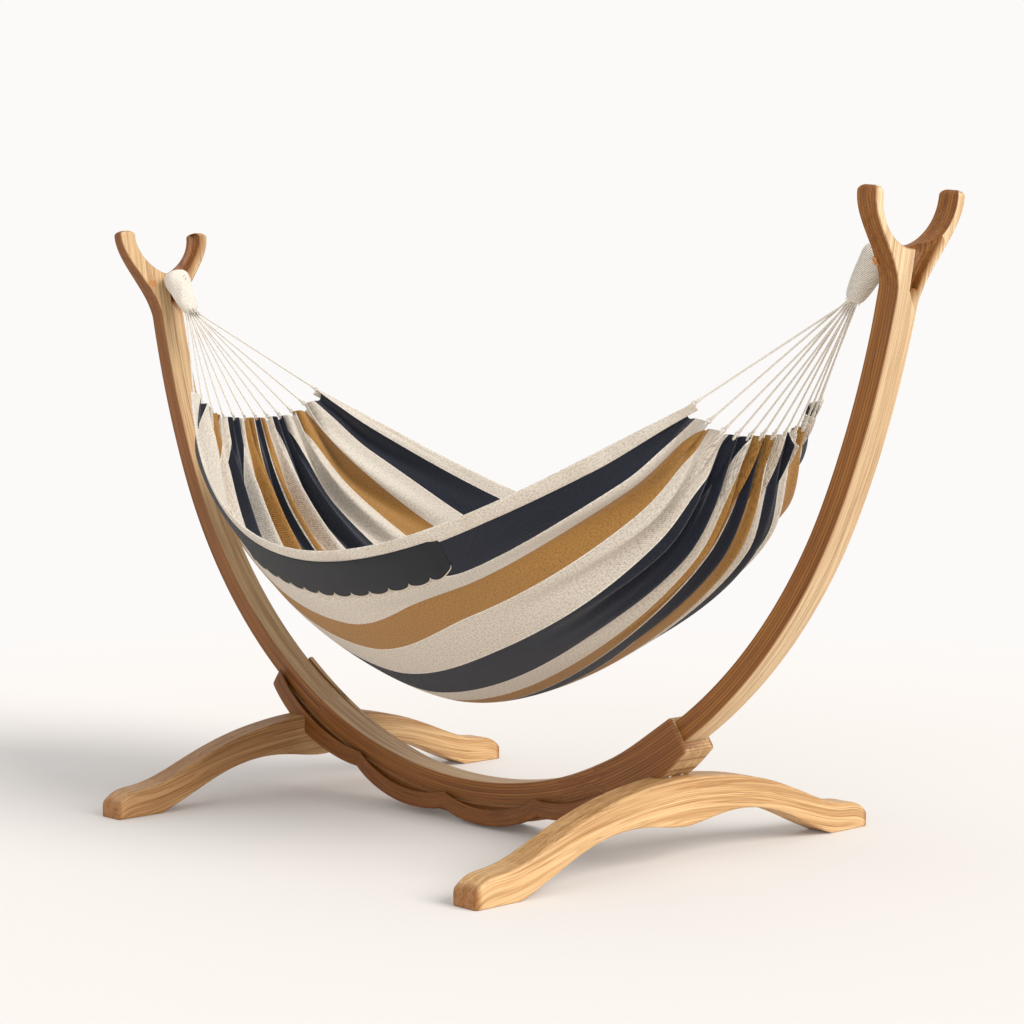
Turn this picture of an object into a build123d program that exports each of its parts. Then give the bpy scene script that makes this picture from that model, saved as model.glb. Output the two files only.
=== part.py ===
"""Hammock on a bent-wood stand, modelled in millimetres.

Frame: +X along the hammock, +Y across it, +Z up, origin on the floor under the middle.
The stand is one arc of laminated oak on two arched cross feet. Each end of the arc is a fork.
The hammock hangs from a screw hook in each arm and swings about the line through both hooks.
"""
from build123d import *
import os
from math import asin, cos, degrees, radians, sin

# ---------------------------------------------------------------- driving dimensions
# The arc of the stand. Angles are measured at the arc's centre, from straight down.
BEAM_WIDTH = 74.0            # across Y
BEAM_DEPTH = 55.0            # outer curve to inner curve
ARC_RADIUS = 1324.0          # outer curve of the lower arc
ARC_CENTRE_Z = 1380.0
BEND_ANGLE = 66.0            # where the lower arc meets the flatter upper arc
UPPER_RADIUS = 2320.0        # outer curve of the upper arc
UPPER_END = 84.5             # past the tips of the prongs
JOINT_ANGLE = 27.0           # lower end of each arm
MOUTH_ANGLE = 35.0           # ends of the base, where the arms come out of it
SOCKET_START = 22.0          # lower end of the right socket

# The forks
TIP_Z = 1534.0               # top of the prongs, which is the top of the object
FORK_HALF = 151.0            # half the breadth over both prongs
RIGHT_PRONG = 26.0           # a prong's breadth across Y at its tip
LEFT_PRONG = 50.0
RIGHT_GAP_POWER = 1.15       # 1 is an elliptical gap, more is nearer a V
LEFT_GAP_POWER = 1.5
TIP_ROUND = 14.0             # height of a prong's rounded end
CROTCH_Z = 1410.0            # bottom of the gap
FORK_ROOT_Z = 1285.0         # where the outer edges begin to flare
PLUG_RADIUS = 10.5
PLUG_Y = 58.0
PLUG_Z = 1383.0
PLUG_DEPTH = 9.0
SCREW_RADIUS = 2.5
SCREW_LENGTH = 36.0

# The feet
RIGHT_FOOT_X = 694.0         # middle of each foot
LEFT_FOOT_X = -664.0
FOOT_LENGTH = 1320.0
FOOT_WIDTH = 80.0
FOOT_TOP = 205.0
PAD_LENGTH = 135.0           # flat stretch at each end of a foot
ARCH_CENTRE_Z = 91.0         # underside at the middle bump
ARCH_TOP_Z = 108.0           # underside at the top of each side of the arch

# The base
APRON_THICKNESS = 24.0
APRON_END = 28.0             # how far the apron's ends stand in from and out from the outer curve
SCALLOP_PITCH = 340.0        # from cusp to cusp, along X
FIRST_CUSP_X = -405.0
CUSP_COUNT = 3
CUSP_INSET = 13.0            # upper edge of the apron at a cusp
LOBE_INSET = -11.0           # and at the middle of a lobe
APRON_HEIGHT = 43.0
KEEL_DEPTH = 40.0
KEEL_END = -35.0
CHEEK = 13.0                 # wall of the socket beside the arm
STEP = 12.0                  # step from the arm's inner face to the socket's
LIP = 24.0                   # the socket's wall outside the arm, at its mouth
FIT = 0.15                   # clearance between glued curved faces

# The hardware
BOLT_RADIUS = 5.0
BOLT_Y = 20.0
BOLT_BASE_Z = 122.0          # seat of the washers, inside the foot
BOLT_TOP_Z = 287.0
NUT_Z = 275.0
NUT_RADIUS = 9.0
NUT_HALF_LENGTH = 33.0
WASHER_RADIUS = 11.0
WASHER_THICKNESS = 2.0
HEAD_FLATS = 17.0
HEAD_HEIGHT = 6.5
HOLE_CLEARANCE = 0.5

# The hooks
WIRE_RADIUS = 4.0
HOOK_Z = 1380.0              # height of the line that the hammock swings about
HOOK_END_X = 1258.0          # end of the wire's straight stretch
HOOK_BEND = 16.0
HOOK_TIP = 8.0
HOOK_BLIND_X = 1356.0        # tip of the screw, inside the arm
COLLAR_RADIUS = 13.0
COLLAR_THICKNESS = 3.0

# The hammock. A place on the bed is (s, t): s from -1 to 1 along it, t from -1 to 1 across it.
BED_SHIFT = 20.0             # the bed hangs this much nearer the right arm
BED_HALF_LENGTH = 923.0      # from the middle to the ends of the rims
BED_END_BULGE = 29.0         # the middle of each end reaches this much further
RIM_HALF_WIDTH = 559.4       # at the middle of the bed
RIM_NARROWING = (354.8, 12.0)
RIM_Z = 722.8
RIM_RISE = (419.6, 63.0)
KEEL_Z = 307.5               # lowest line of the bed, at its middle
KEEL_RISE = (540.0, 155.0)
KEEL_POWERS = (1.75, 12)
SECTION_POWERS = (1.92, 1.76)
CLOTH = 3.0
CLOTH_EDGE_T = 0.993         # the cloth ends inside the hems
HEM_RADIUS = 6.0
VALANCE_THICKNESS = 1.6
VALANCE_GAP = 0.5
VALANCE_T = (0.968, 0.84)    # from under the hem to below the scallops
VALANCE_CUSP_T = 0.872       # upper points of the scallops
VALANCE_LOBE = 14.0          # from a cusp down to the bottom of a scallop
VALANCE_S = 0.42
SCALLOPS = 13

# The clews
CORD_COUNT = 12
CORD_RADIUS = 2.4
CORD_ROW_STEP = 5.4          # between the two rows in which the cords leave the neck
CORD_SPREAD = 2.5            # from one cord to the next along Y, at the neck
ROPE_RADIUS = 8.0
EYE_TOP = 12.5               # swing line to the rope's centre, over the wire
EYE_X = 1272.0
EYE_HALF_WIDTH = 15.0
EYE_LENGTH = 48.0
PULL_ANGLE = 57.0            # slope of the neck below the horizontal
NECK_STATIONS = ((26.0, 14.5), (46.0, 22.0), (84.0, 22.0), (112.0, 17.0))
LOOP_RADIUS = 5.0
LOOP_WIRE = 1.7


# ---------------------------------------------------------------- helpers
def write(name, shape):
    """Write one sub-part as parts/NAME.step."""
    shape.label = name
    export_step(shape, f"parts/{name}.step")


def arc_point(angle, inset=0.0):
    """(x, z) on the lower arc, inset from its outer curve."""
    r = ARC_RADIUS - inset
    return (r * sin(radians(angle)), ARC_CENTRE_Z - r * cos(radians(angle)))


def upper_point(angle, inset=0.0):
    """(x, z) on the upper arc, which is tangent to the lower arc at the bend."""
    shift = ARC_RADIUS - UPPER_RADIUS
    centre_x = shift * sin(radians(BEND_ANGLE))
    centre_z = ARC_CENTRE_Z - shift * cos(radians(BEND_ANGLE))
    r = UPPER_RADIUS - inset
    return (centre_x + r * sin(radians(angle)), centre_z - r * cos(radians(angle)))


def angle_at(x):
    """Angle of the place on the outer curve that has this x."""
    return degrees(asin(x / ARC_RADIUS))


def side_face(edges):
    """A face in the X-Z plane, drawn as (x, z)."""
    return Plane.XZ * make_face(Curve() + list(edges))


def closed(points_and_curves):
    """The curves of an outline, with a straight edge wherever one ends short of the next."""
    edges = []
    for here, after in zip(points_and_curves, points_and_curves[1:] + points_and_curves[:1]):
        edges.append(here)
        if ((here @ 1) - (after @ 0)).length > 1e-6:
            edges.append(Line(here @ 1, after @ 0))
    return edges


def arc_through(inset_at, point=arc_point):
    """Arc through three (angle, inset) places of the stand's curve."""
    return ThreePointArc(*[point(angle, inset) for angle, inset in inset_at])


def band(start, end, outer_inset, inner_inset):
    """Face between two insets of the lower arc, from one angle to another."""
    mid = (start + end) / 2
    outer = arc_through([(a, outer_inset) for a in (start, mid, end)])
    inner = arc_through([(a, inner_inset) for a in (end, mid, start)])
    return side_face(closed([outer, inner]))


def across(face, y_low, y_high):
    """Solid swept from a face in the X-Z plane between two values of Y."""
    return extrude(Pos(0, y_high, 0) * face, amount=y_high - y_low, dir=(0, -1, 0))


def mirror_x(shape):
    """The same piece at the other end of the object."""
    return mirror(shape, about=Plane.YZ)


def mirror_y(shape):
    """The same piece on the other side of the middle plane."""
    return mirror(shape, about=Plane.XZ)


def rod(start, end, radius):
    """Round bar between two points."""
    direction = Vector(*end) - Vector(*start)
    return extrude(Plane(origin=start, z_dir=direction) * Circle(radius), amount=direction.length)


# ---------------------------------------------------------------- drilled holes and hardware
def bolt_places(x):
    """The two bolts of one foot."""
    return [(x, -BOLT_Y), (x, BOLT_Y)]


def bolt_holes(x):
    """What the bolts, their heads and the cross dowel clear at one end of the stand."""
    shafts = [rod((px, py, 0), (px, py, BOLT_TOP_Z + 3), BOLT_RADIUS + HOLE_CLEARANCE)
              for px, py in bolt_places(x)]
    sinks = [rod((px, py, 0), (px, py, BOLT_BASE_Z), WASHER_RADIUS + HOLE_CLEARANCE)
             for px, py in bolt_places(x)]
    dowel = rod((x, -NUT_HALF_LENGTH - 1, NUT_Z), (x, NUT_HALF_LENGTH + 1, NUT_Z),
                NUT_RADIUS + FIT)
    return shafts + sinks + [dowel]


def foot_bolt(x, y):
    """Hexagon-headed bolt, up through the foot and the base into the cross dowel."""
    head_z = BOLT_BASE_Z - WASHER_THICKNESS - HEAD_HEIGHT
    head = extrude(Pos(x, y, head_z) * RegularPolygon(HEAD_FLATS / 2, 6, major_radius=False),
                   amount=HEAD_HEIGHT)
    return head + rod((x, y, head_z), (x, y, BOLT_TOP_Z), BOLT_RADIUS)


def washer(x, y):
    """Flat washer above a bolt's head."""
    z = BOLT_BASE_Z - WASHER_THICKNESS
    ring = Circle(WASHER_RADIUS) - Circle(BOLT_RADIUS + FIT)
    return extrude(Pos(x, y, z) * ring, amount=WASHER_THICKNESS)


def cross_dowel(x):
    """Steel bar across the arm, tapped for both bolts."""
    bar = rod((x, -NUT_HALF_LENGTH, NUT_Z), (x, NUT_HALF_LENGTH, NUT_Z), NUT_RADIUS)
    for px, py in bolt_places(x):
        bar -= rod((px, py, NUT_Z - 20), (px, py, NUT_Z + 20), BOLT_RADIUS)
    return bar


def inner_face_x(z):
    """x of the right arm's inner face at a height on the upper arc."""
    shift = ARC_RADIUS - UPPER_RADIUS
    centre_z = ARC_CENTRE_Z - shift * cos(radians(BEND_ANGLE))
    angle = 90 - degrees(asin((centre_z - z) / (UPPER_RADIUS - BEAM_DEPTH)))
    return upper_point(angle, BEAM_DEPTH)[0]


def plug(y):
    """Wooden plug in the inner face of the right arm."""
    x = inner_face_x(PLUG_Z)
    return rod((x - 1.5, y, PLUG_Z), (x + PLUG_DEPTH, y, PLUG_Z), PLUG_RADIUS)


def plug_screw(y):
    """Countersunk screw that holds the root of a prong, under its plug."""
    x = inner_face_x(PLUG_Z) + PLUG_DEPTH + 0.2
    head = Pos(x, y, PLUG_Z) * Rot(0, 90, 0) * Cone(SCREW_RADIUS * 2, SCREW_RADIUS, 3.0,
                                                    align=(Align.CENTER, Align.CENTER, Align.MIN))
    return head + rod((x, y, PLUG_Z), (x + SCREW_LENGTH, y, PLUG_Z), SCREW_RADIUS)


def plug_hole(y):
    """What a plug and its screw clear in the arm."""
    x = inner_face_x(PLUG_Z)
    pocket = rod((x - 20, y, PLUG_Z), (x + PLUG_DEPTH + 3.5, y, PLUG_Z), PLUG_RADIUS + 0.05)
    pilot = rod((x, y, PLUG_Z), (x + PLUG_DEPTH + SCREW_LENGTH + 1, y, PLUG_Z), SCREW_RADIUS + 0.1)
    return [pocket, pilot]


def hook():
    """Right screw hook: screw, collar against the wood, and a wire turned up at its end."""
    face_x = inner_face_x(HOOK_Z)
    straight = Line((HOOK_BLIND_X, HOOK_Z), (HOOK_END_X, HOOK_Z))
    bend = CenterArc((HOOK_END_X, HOOK_Z + HOOK_BEND), HOOK_BEND, 270, -90)
    tip = Line(bend @ 1, (HOOK_END_X - HOOK_BEND, HOOK_Z + HOOK_BEND + HOOK_TIP))
    path = Plane.XZ * (Curve() + [straight, bend, tip])
    section = Plane(origin=(HOOK_BLIND_X, 0, HOOK_Z), z_dir=(-1, 0, 0)) * Circle(WIRE_RADIUS)
    wire = sweep(section, path=path)
    end = Pos(HOOK_END_X - HOOK_BEND, 0, HOOK_Z + HOOK_BEND + HOOK_TIP) * Sphere(WIRE_RADIUS)
    collar = rod((face_x - 6, 0, HOOK_Z), (face_x - 6 + COLLAR_THICKNESS, 0, HOOK_Z), COLLAR_RADIUS)
    return wire + end + collar


# ---------------------------------------------------------------- arms
def arm_side_face():
    """The right arm from the side: two tangent arcs, inside and outside."""
    low_mid = (JOINT_ANGLE + BEND_ANGLE) / 2
    high_mid = (BEND_ANGLE + UPPER_END) / 2
    outline = [
        arc_through([(a, 0) for a in (JOINT_ANGLE, low_mid, BEND_ANGLE)]),
        arc_through([(a, 0) for a in (BEND_ANGLE, high_mid, UPPER_END)], upper_point),
        arc_through([(a, BEAM_DEPTH) for a in (UPPER_END, high_mid, BEND_ANGLE)], upper_point),
        arc_through([(a, BEAM_DEPTH) for a in (BEND_ANGLE, low_mid, JOINT_ANGLE)]),
    ]
    return side_face(closed(outline))


def fork_front_face(prong, gap_power):
    """Half of the fork seen along X, drawn as (y, z) on the +Y side of the middle plane."""
    half = BEAM_WIDTH / 2
    inner_y = FORK_HALF - prong
    round_z = TIP_Z - TIP_ROUND
    edge = [(inner_y * sin(radians(turn))**gap_power,
             round_z - (round_z - CROTCH_Z) * cos(radians(turn))) for turn in range(0, 91, 10)]
    gap = Spline(*edge, tangents=[(1, 0.4), (0, 1)])
    tip = EllipticalCenterArc((inner_y + prong / 2, round_z), prong / 2, TIP_ROUND,
                              start_angle=180, arc_size=-180)
    flare = Spline((FORK_HALF, round_z), (half, FORK_ROOT_Z), tangents=[(0, -1), (0, -1)],
                   tangent_scalars=[1.35, 1.35])
    root = Polyline((half, FORK_ROOT_Z), (half, 0), (0, 0), (0, CROTCH_Z))
    return Plane.YZ * make_face(Curve() + closed([gap, tip, flare, root]))


def arm_half(prong, gap_power, foot_x):
    """Rear half of an arm at the right: its side outline and front outline cut from one block."""
    block = extrude(fork_front_face(prong, gap_power), amount=1500.0, dir=(1, 0, 0))
    solid = across(arm_side_face(), 0, FORK_HALF + 5) & block
    for tool in bolt_holes(foot_x) + plug_hole(PLUG_Y):
        solid -= tool
    return solid - rod((1200, 0, HOOK_Z), (HOOK_BLIND_X + 1, 0, HOOK_Z), WIRE_RADIUS + 0.1)


# ---------------------------------------------------------------- base
def base_rail():
    """Curved beam between the lower ends of the two arms."""
    limit = JOINT_ANGLE - 0.01
    return across(band(-limit, limit, 0, BEAM_DEPTH), -BEAM_WIDTH / 2, BEAM_WIDTH / 2)


def keel_strip():
    """Lamination under the rail, from the left foot to the right socket."""
    half = BEAM_WIDTH / 2 - FIT
    strip = across(band(KEEL_END, SOCKET_START - 0.02, -KEEL_DEPTH, -FIT), -half, half)
    for tool in bolt_holes(LEFT_FOOT_X):
        strip -= tool
    return strip


def apron():
    """Rear apron: a ribbon of bent wood, scalloped along both edges."""
    cusps = [angle_at(FIRST_CUSP_X + SCALLOP_PITCH * i) for i in range(CUSP_COUNT)]
    right = SOCKET_START - 0.02
    first_mid = (KEEL_END + cusps[0]) / 2
    last_mid = (cusps[-1] + right) / 2
    upper = [arc_through([(KEEL_END, APRON_END), (first_mid, 0), (cusps[0], CUSP_INSET)])]
    lower = [arc_through([(KEEL_END, -APRON_END), (first_mid, LOBE_INSET - APRON_HEIGHT + 4),
                          (cusps[0], CUSP_INSET - APRON_HEIGHT)])]
    for here, after in zip(cusps, cusps[1:]):
        mid = (here + after) / 2
        upper.append(arc_through([(here, CUSP_INSET), (mid, LOBE_INSET), (after, CUSP_INSET)]))
        lower.append(arc_through([(here, CUSP_INSET - APRON_HEIGHT), (mid, LOBE_INSET - APRON_HEIGHT),
                                  (after, CUSP_INSET - APRON_HEIGHT)]))
    upper.append(arc_through([(cusps[-1], CUSP_INSET), (last_mid, LOBE_INSET + 2), (right, LOBE_INSET + 2)]))
    lower.append(arc_through([(cusps[-1], CUSP_INSET - APRON_HEIGHT),
                              (last_mid, LOBE_INSET - APRON_HEIGHT + 4), (right, -KEEL_DEPTH)]))
    outline = upper + [Line(upper[-1] @ 1, lower[-1] @ 1)]
    outline += [Line(lower[0] @ 0, upper[0] @ 0)] + lower
    half = BEAM_WIDTH / 2
    return across(side_face(outline), half, half + APRON_THICKNESS)


def left_cheek():
    """Batten on the rear face of the rail's left end, just proud of its inner face."""
    mid = (KEEL_END - 6) / 2
    outer = arc_through([(KEEL_END, APRON_END + FIT), (mid, CUSP_INSET + 6), (-6, CUSP_INSET + FIT + 4)])
    inner = arc_through([(-6, BEAM_DEPTH - 2), (mid, BEAM_DEPTH + 2), (KEEL_END, BEAM_DEPTH + 6)])
    half = BEAM_WIDTH / 2
    return across(side_face(closed([outer, inner])), half, half + CHEEK)


def right_socket():
    """Collar round the lower end of the right arm and the right end of the rail."""
    mid = (SOCKET_START + MOUTH_ANGLE) / 2
    outer = arc_through([(SOCKET_START, -KEEL_DEPTH), (mid, -KEEL_DEPTH - 1), (MOUTH_ANGLE, -LIP)])
    inner = arc_through([(MOUTH_ANGLE, BEAM_DEPTH + STEP), (mid, BEAM_DEPTH + STEP - 1),
                         (SOCKET_START, BEAM_DEPTH + 3)])
    half = BEAM_WIDTH / 2
    block = across(side_face(closed([outer, inner])), -half - CHEEK, half + CHEEK)
    block -= across(band(SOCKET_START - 5, MOUTH_ANGLE + 5, -FIT, BEAM_DEPTH + FIT), -half - FIT,
                    half + FIT)
    for tool in bolt_holes(RIGHT_FOOT_X):
        block -= tool
    return block


# ---------------------------------------------------------------- feet
def foot_outline():
    """A foot seen along X, drawn as (y, z)."""
    end = FOOT_LENGTH / 2
    pad = end - PAD_LENGTH
    top_half = [(0, FOOT_TOP), (130, 196), (265, 171), (395, 128), (498, 88), (575, 70)]
    under_half = [(pad, 0), (440, 35), (352, 73), (264, 99), (180, ARCH_TOP_Z), (90, 101),
                  (0, ARCH_CENTRE_Z)]
    top = Spline(*([(-y, z) for y, z in reversed(top_half[1:])] + top_half))
    under = Spline(*(under_half + [(-y, z) for y, z in reversed(under_half[:-1])]))
    right_end = Polyline(top_half[-1], (end - 42, 64), (end - 14, 52), (end, 38), (end, 5),
                         (end - 5, 0), (pad, 0))
    left_end = Polyline((-pad, 0), (-end + 5, 0), (-end, 5), (-end, 38), (-end + 14, 52),
                        (-end + 42, 64), (-575, 70))
    return Plane.YZ * make_face(Curve() + [top, right_end, under, left_end])


def foot(x, seat_tools):
    """Arched cross foot, housed for what sits in it and bored for its bolts."""
    blank = Pos(x - FOOT_WIDTH / 2, 0, 0) * extrude(foot_outline(), amount=FOOT_WIDTH, dir=(1, 0, 0))
    for tool in seat_tools + bolt_holes(x):
        blank -= tool
    return blank


def left_seat(rear_apron):
    """Room in the left foot for the keel strip and both aprons."""
    half = BEAM_WIDTH / 2
    return [across(band(KEEL_END - 3, -20, -KEEL_DEPTH - FIT, 60), -half, half),
            rear_apron, mirror_y(rear_apron)]


def right_seat():
    """Room in the right foot for the socket."""
    half = BEAM_WIDTH / 2 + CHEEK + FIT
    mid = (SOCKET_START + MOUTH_ANGLE) / 2
    outer = arc_through([(SOCKET_START, -KEEL_DEPTH - FIT), (mid, -KEEL_DEPTH - 1 - FIT),
                         (MOUTH_ANGLE, -LIP - FIT)])
    inner = arc_through([(MOUTH_ANGLE, 60), (mid, 60), (SOCKET_START, 60)])
    return [across(side_face(closed([outer, inner])), -half, half)]


# ---------------------------------------------------------------- bed
def rim(s):
    """Half width and height of the rims."""
    y = RIM_HALF_WIDTH - RIM_NARROWING[0] * s**2 + RIM_NARROWING[1] * s**4
    z = RIM_Z + RIM_RISE[0] * s**2 - RIM_RISE[1] * s**4
    return y, z


def bed_point(s, t):
    """A place on the outer face of the bed."""
    half_width, rim_z = rim(s)
    keel_z = KEEL_Z + sum(rise * abs(s)**power for rise, power in zip(KEEL_RISE, KEEL_POWERS))
    power = SECTION_POWERS[0] + SECTION_POWERS[1] * s**2
    x = (BED_HALF_LENGTH + BED_END_BULGE * (1 - t**2) * s**4) * s + BED_SHIFT
    return (x, half_width * t, rim_z - (rim_z - keel_z) * (1 - abs(t)**power))


def steps(low, high, count):
    """Evenly spaced values, ends included."""
    return [low + (high - low) * i / (count - 1) for i in range(count)]


def cloth_face(s_values, t_values):
    """Curved face through places on the bed."""
    return Face.make_surface_from_array_of_points([[bed_point(s, t) for t in t_values]
                                                   for s in s_values])


def bed_cloth():
    """The bed as a thin closed shell, open above."""
    face = cloth_face(steps(-1, 1, 41), steps(-CLOTH_EDGE_T, CLOTH_EDGE_T, 25))
    return Solid.thicken(face, CLOTH, normal_override=(0, 0, 1))


def hem():
    """Rolled hem along the rear rim."""
    path = Spline(*[bed_point(s, 1) for s in steps(-1, 1, 17)])
    section = Plane(origin=path @ 0, z_dir=path % 0) * Circle(HEM_RADIUS)
    return sweep(section, path=path)


def outer_normal(s, t):
    """Unit vector out of the bed's outer face."""
    step = 1e-4
    along = Vector(*bed_point(s + step, t)) - Vector(*bed_point(s - step, t))
    over = Vector(*bed_point(s, t + step)) - Vector(*bed_point(s, t - step))
    return over.cross(along).normalized()


def valance():
    """Trim along the front rim, just outside the cloth, with a scalloped lower edge."""
    rows = []
    for s in steps(-VALANCE_S, VALANCE_S, 25):
        rows.append([Vector(*bed_point(s, -t)) + outer_normal(s, -t) * VALANCE_GAP
                     for t in steps(VALANCE_T[0], VALANCE_T[1], 5)])
    trim = Solid.thicken(Face.make_surface_from_array_of_points(rows), -VALANCE_THICKNESS,
                         normal_override=(0, 0, 1))
    cusps = []
    for s in steps(-VALANCE_S, VALANCE_S, SCALLOPS + 1):
        x, y, z = bed_point(s, -VALANCE_CUSP_T)
        cusps.append((x, z))
    lobes = []
    for here, after in zip(cusps, cusps[1:]):
        middle = ((here[0] + after[0]) / 2, (here[1] + after[1]) / 2 - VALANCE_LOBE)
        lobes.append(ThreePointArc(here, middle, after))
    low = RIM_Z - 300
    below = Polyline(cusps[-1], (cusps[-1][0] + 50, cusps[-1][1]), (cusps[-1][0] + 50, low),
                     (cusps[0][0] - 50, low), (cusps[0][0] - 50, cusps[0][1]), cusps[0])
    return trim - across(side_face(lobes + [below]), -RIM_HALF_WIDTH - 50, 0)


# ---------------------------------------------------------------- clews
def pull(distance):
    """(x, z) on the axis of the right neck, measured from the top of the rope eye."""
    angle = radians(PULL_ANGLE)
    return (EYE_X - distance * cos(angle), HOOK_Z + EYE_TOP - distance * sin(angle))


def neck_plane(distance):
    """Plane across the right neck. Its x direction is Y, and its normal runs down the neck."""
    x, z = pull(distance)
    angle = radians(PULL_ANGLE)
    return Plane(origin=(x, 0, z), x_dir=(0, 1, 0), z_dir=(-cos(angle), 0, -sin(angle)))


def whipping():
    """Bound neck of the right clew."""
    sections = [neck_plane(distance) * Circle(radius) for distance, radius in NECK_STATIONS]
    return loft(sections)


def rope_eye():
    """Eye of rope over the right hook. Its lower part runs down inside the neck."""
    angle = radians(PULL_ANGLE)
    x, z = pull(EYE_LENGTH / 2)
    plane = Plane(origin=(x, 0, z), x_dir=(0, 1, 0), z_dir=(-sin(angle), 0, cos(angle)))
    path = plane * Ellipse(EYE_HALF_WIDTH, EYE_LENGTH / 2).edges()[0]
    section = Plane(origin=path @ 0, z_dir=path % 0) * Circle(ROPE_RADIUS)
    return sweep(section, path=path)


def tip_point(index, side):
    """Where a cord meets the cloth. side is 1 at the right end and -1 at the left."""
    t = -1 + 2 * index / (CORD_COUNT - 1)
    return Vector(*bed_point(side, t * CLOTH_EDGE_T))


def cord_ends(index, side):
    """The two ends of one clew cord: inside the neck, and in its loop at the cloth."""
    plane = neck_plane(NECK_STATIONS[-1][0] - 4)
    row = CORD_ROW_STEP * (0.5 if index % 2 else -0.5)
    start = plane.from_local_coords(((index - (CORD_COUNT - 1) / 2) * CORD_SPREAD, row, 0))
    start = Vector(start.X * side, start.Y, start.Z)
    tip = tip_point(index, side)
    away = (start - tip).normalized()
    return start, tip + away * (2 * LOOP_RADIUS)


def clew_cord(index, side):
    """One straight, tight cord of a clew."""
    start, end = cord_ends(index, side)
    return rod(tuple(start), tuple(end), CORD_RADIUS)


def tip_loops(side):
    """Small loops that tie the cords to the gathered points of the cloth."""
    loops = []
    for index in range(CORD_COUNT):
        start, end = cord_ends(index, side)
        tip = tip_point(index, side)
        along = (start - tip).normalized()
        plane = Plane(origin=tip + along * LOOP_RADIUS, x_dir=along, z_dir=Vector(0, 0, 1).cross(along))
        loops.append(plane * Torus(LOOP_RADIUS, LOOP_WIRE))
    return Compound(children=loops)


# ---------------------------------------------------------------- writing
def build():
    """Every sub-part by name."""
    right_arm = arm_half(RIGHT_PRONG, RIGHT_GAP_POWER, RIGHT_FOOT_X)
    left_arm = mirror_x(arm_half(LEFT_PRONG, LEFT_GAP_POWER, -LEFT_FOOT_X))
    socket = right_socket()
    rear_apron = apron()
    parts = {
        "base_rail": base_rail(),
        "keel_strip": keel_strip(),
        "rear_apron": rear_apron,
        "front_apron": mirror_y(rear_apron),
        "left_cheek": left_cheek(),
        "right_socket": socket,
        "right_arm_rear": right_arm,
        "right_arm_front": mirror_y(right_arm),
        "left_arm_rear": left_arm,
        "left_arm_front": mirror_y(left_arm),
        "left_foot": foot(LEFT_FOOT_X, left_seat(rear_apron)),
        "right_foot": foot(RIGHT_FOOT_X, right_seat()),
        "right_hook": hook(),
        "left_hook": mirror_x(hook()),
    }
    right_plugs = [plug(y) for y in (-PLUG_Y, PLUG_Y)]
    right_screws = [plug_screw(y) for y in (-PLUG_Y, PLUG_Y)]
    places = bolt_places(LEFT_FOOT_X) + bolt_places(RIGHT_FOOT_X)
    parts["fork_plugs"] = Compound(children=right_plugs + [mirror_x(p) for p in right_plugs])
    parts["fork_screws"] = Compound(children=right_screws + [mirror_x(p) for p in right_screws])
    parts["foot_bolts"] = Compound(children=[foot_bolt(*place) for place in places])
    parts["foot_washers"] = Compound(children=[washer(*place) for place in places])
    parts["cross_dowels"] = Compound(children=[cross_dowel(LEFT_FOOT_X), cross_dowel(RIGHT_FOOT_X)])
    return parts


def build_hammock():
    """Every sub-part of the hammock by name."""
    rear_hem = hem()
    front_valance = valance()
    parts = {
        "bed_cloth": bed_cloth(),
        "rear_hem": rear_hem,
        "front_hem": mirror_y(rear_hem),
        "front_valance": front_valance,
        "rear_valance": mirror_y(front_valance),
        "right_whipping": whipping(),
        "left_whipping": mirror_x(whipping()),
        "right_eye": rope_eye(),
        "left_eye": mirror_x(rope_eye()),
        "right_tip_loops": tip_loops(1),
        "left_tip_loops": tip_loops(-1),
    }
    for side, word in ((1, "right"), (-1, "left")):
        for index in range(CORD_COUNT):
            parts[f"{word}_cord_{index + 1:02d}"] = clew_cord(index, side)
    return parts


if __name__ == "__main__":
    os.makedirs("parts", exist_ok=True)
    for part_name, part_shape in {**build(), **build_hammock()}.items():
        write(part_name, part_shape)
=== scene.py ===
"""Looks of a striped cotton hammock on its bent-wood stand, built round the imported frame.

Metres, +X along the hammock, +Y across it, +Z up, origin on the floor under the middle.
"""

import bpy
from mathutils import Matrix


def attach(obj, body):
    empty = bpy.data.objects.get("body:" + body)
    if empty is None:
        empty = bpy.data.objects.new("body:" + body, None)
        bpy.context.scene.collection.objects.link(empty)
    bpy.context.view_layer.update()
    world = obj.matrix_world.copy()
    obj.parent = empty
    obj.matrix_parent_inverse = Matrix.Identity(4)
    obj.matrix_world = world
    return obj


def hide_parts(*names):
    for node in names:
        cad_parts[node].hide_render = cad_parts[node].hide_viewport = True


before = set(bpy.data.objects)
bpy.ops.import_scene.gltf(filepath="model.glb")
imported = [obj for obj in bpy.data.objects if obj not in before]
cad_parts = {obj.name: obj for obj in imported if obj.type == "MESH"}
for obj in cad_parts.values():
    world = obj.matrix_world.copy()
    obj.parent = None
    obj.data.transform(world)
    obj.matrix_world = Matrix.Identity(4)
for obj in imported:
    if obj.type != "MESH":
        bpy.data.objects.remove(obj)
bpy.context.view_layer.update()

import logging
import math
from dataclasses import dataclass
from enum import Enum
from typing import Any

import bmesh
import bpy
import numpy as np
from mathutils import Matrix, Vector

LOG = logging.getLogger("hammock")
MM = 0.001
TURN = 2 * math.pi
ACROSS = np.array([0.0, 1.0, 0.0])               # from the front rim to the rear rim
CORNER = np.linspace(0, math.pi / 2, 7)          # the points of a rounded corner


class Body(Enum):
    """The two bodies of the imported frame."""

    STAND = "stand"
    HAMMOCK = "hammock"


class Side(Enum):
    """The two ends of the object; the value is the sign of X."""

    RIGHT = 1
    LEFT = -1

    @property
    def word(self) -> str:
        """The side's name, as the frame's nodes use it."""
        return self.name.lower()


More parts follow.
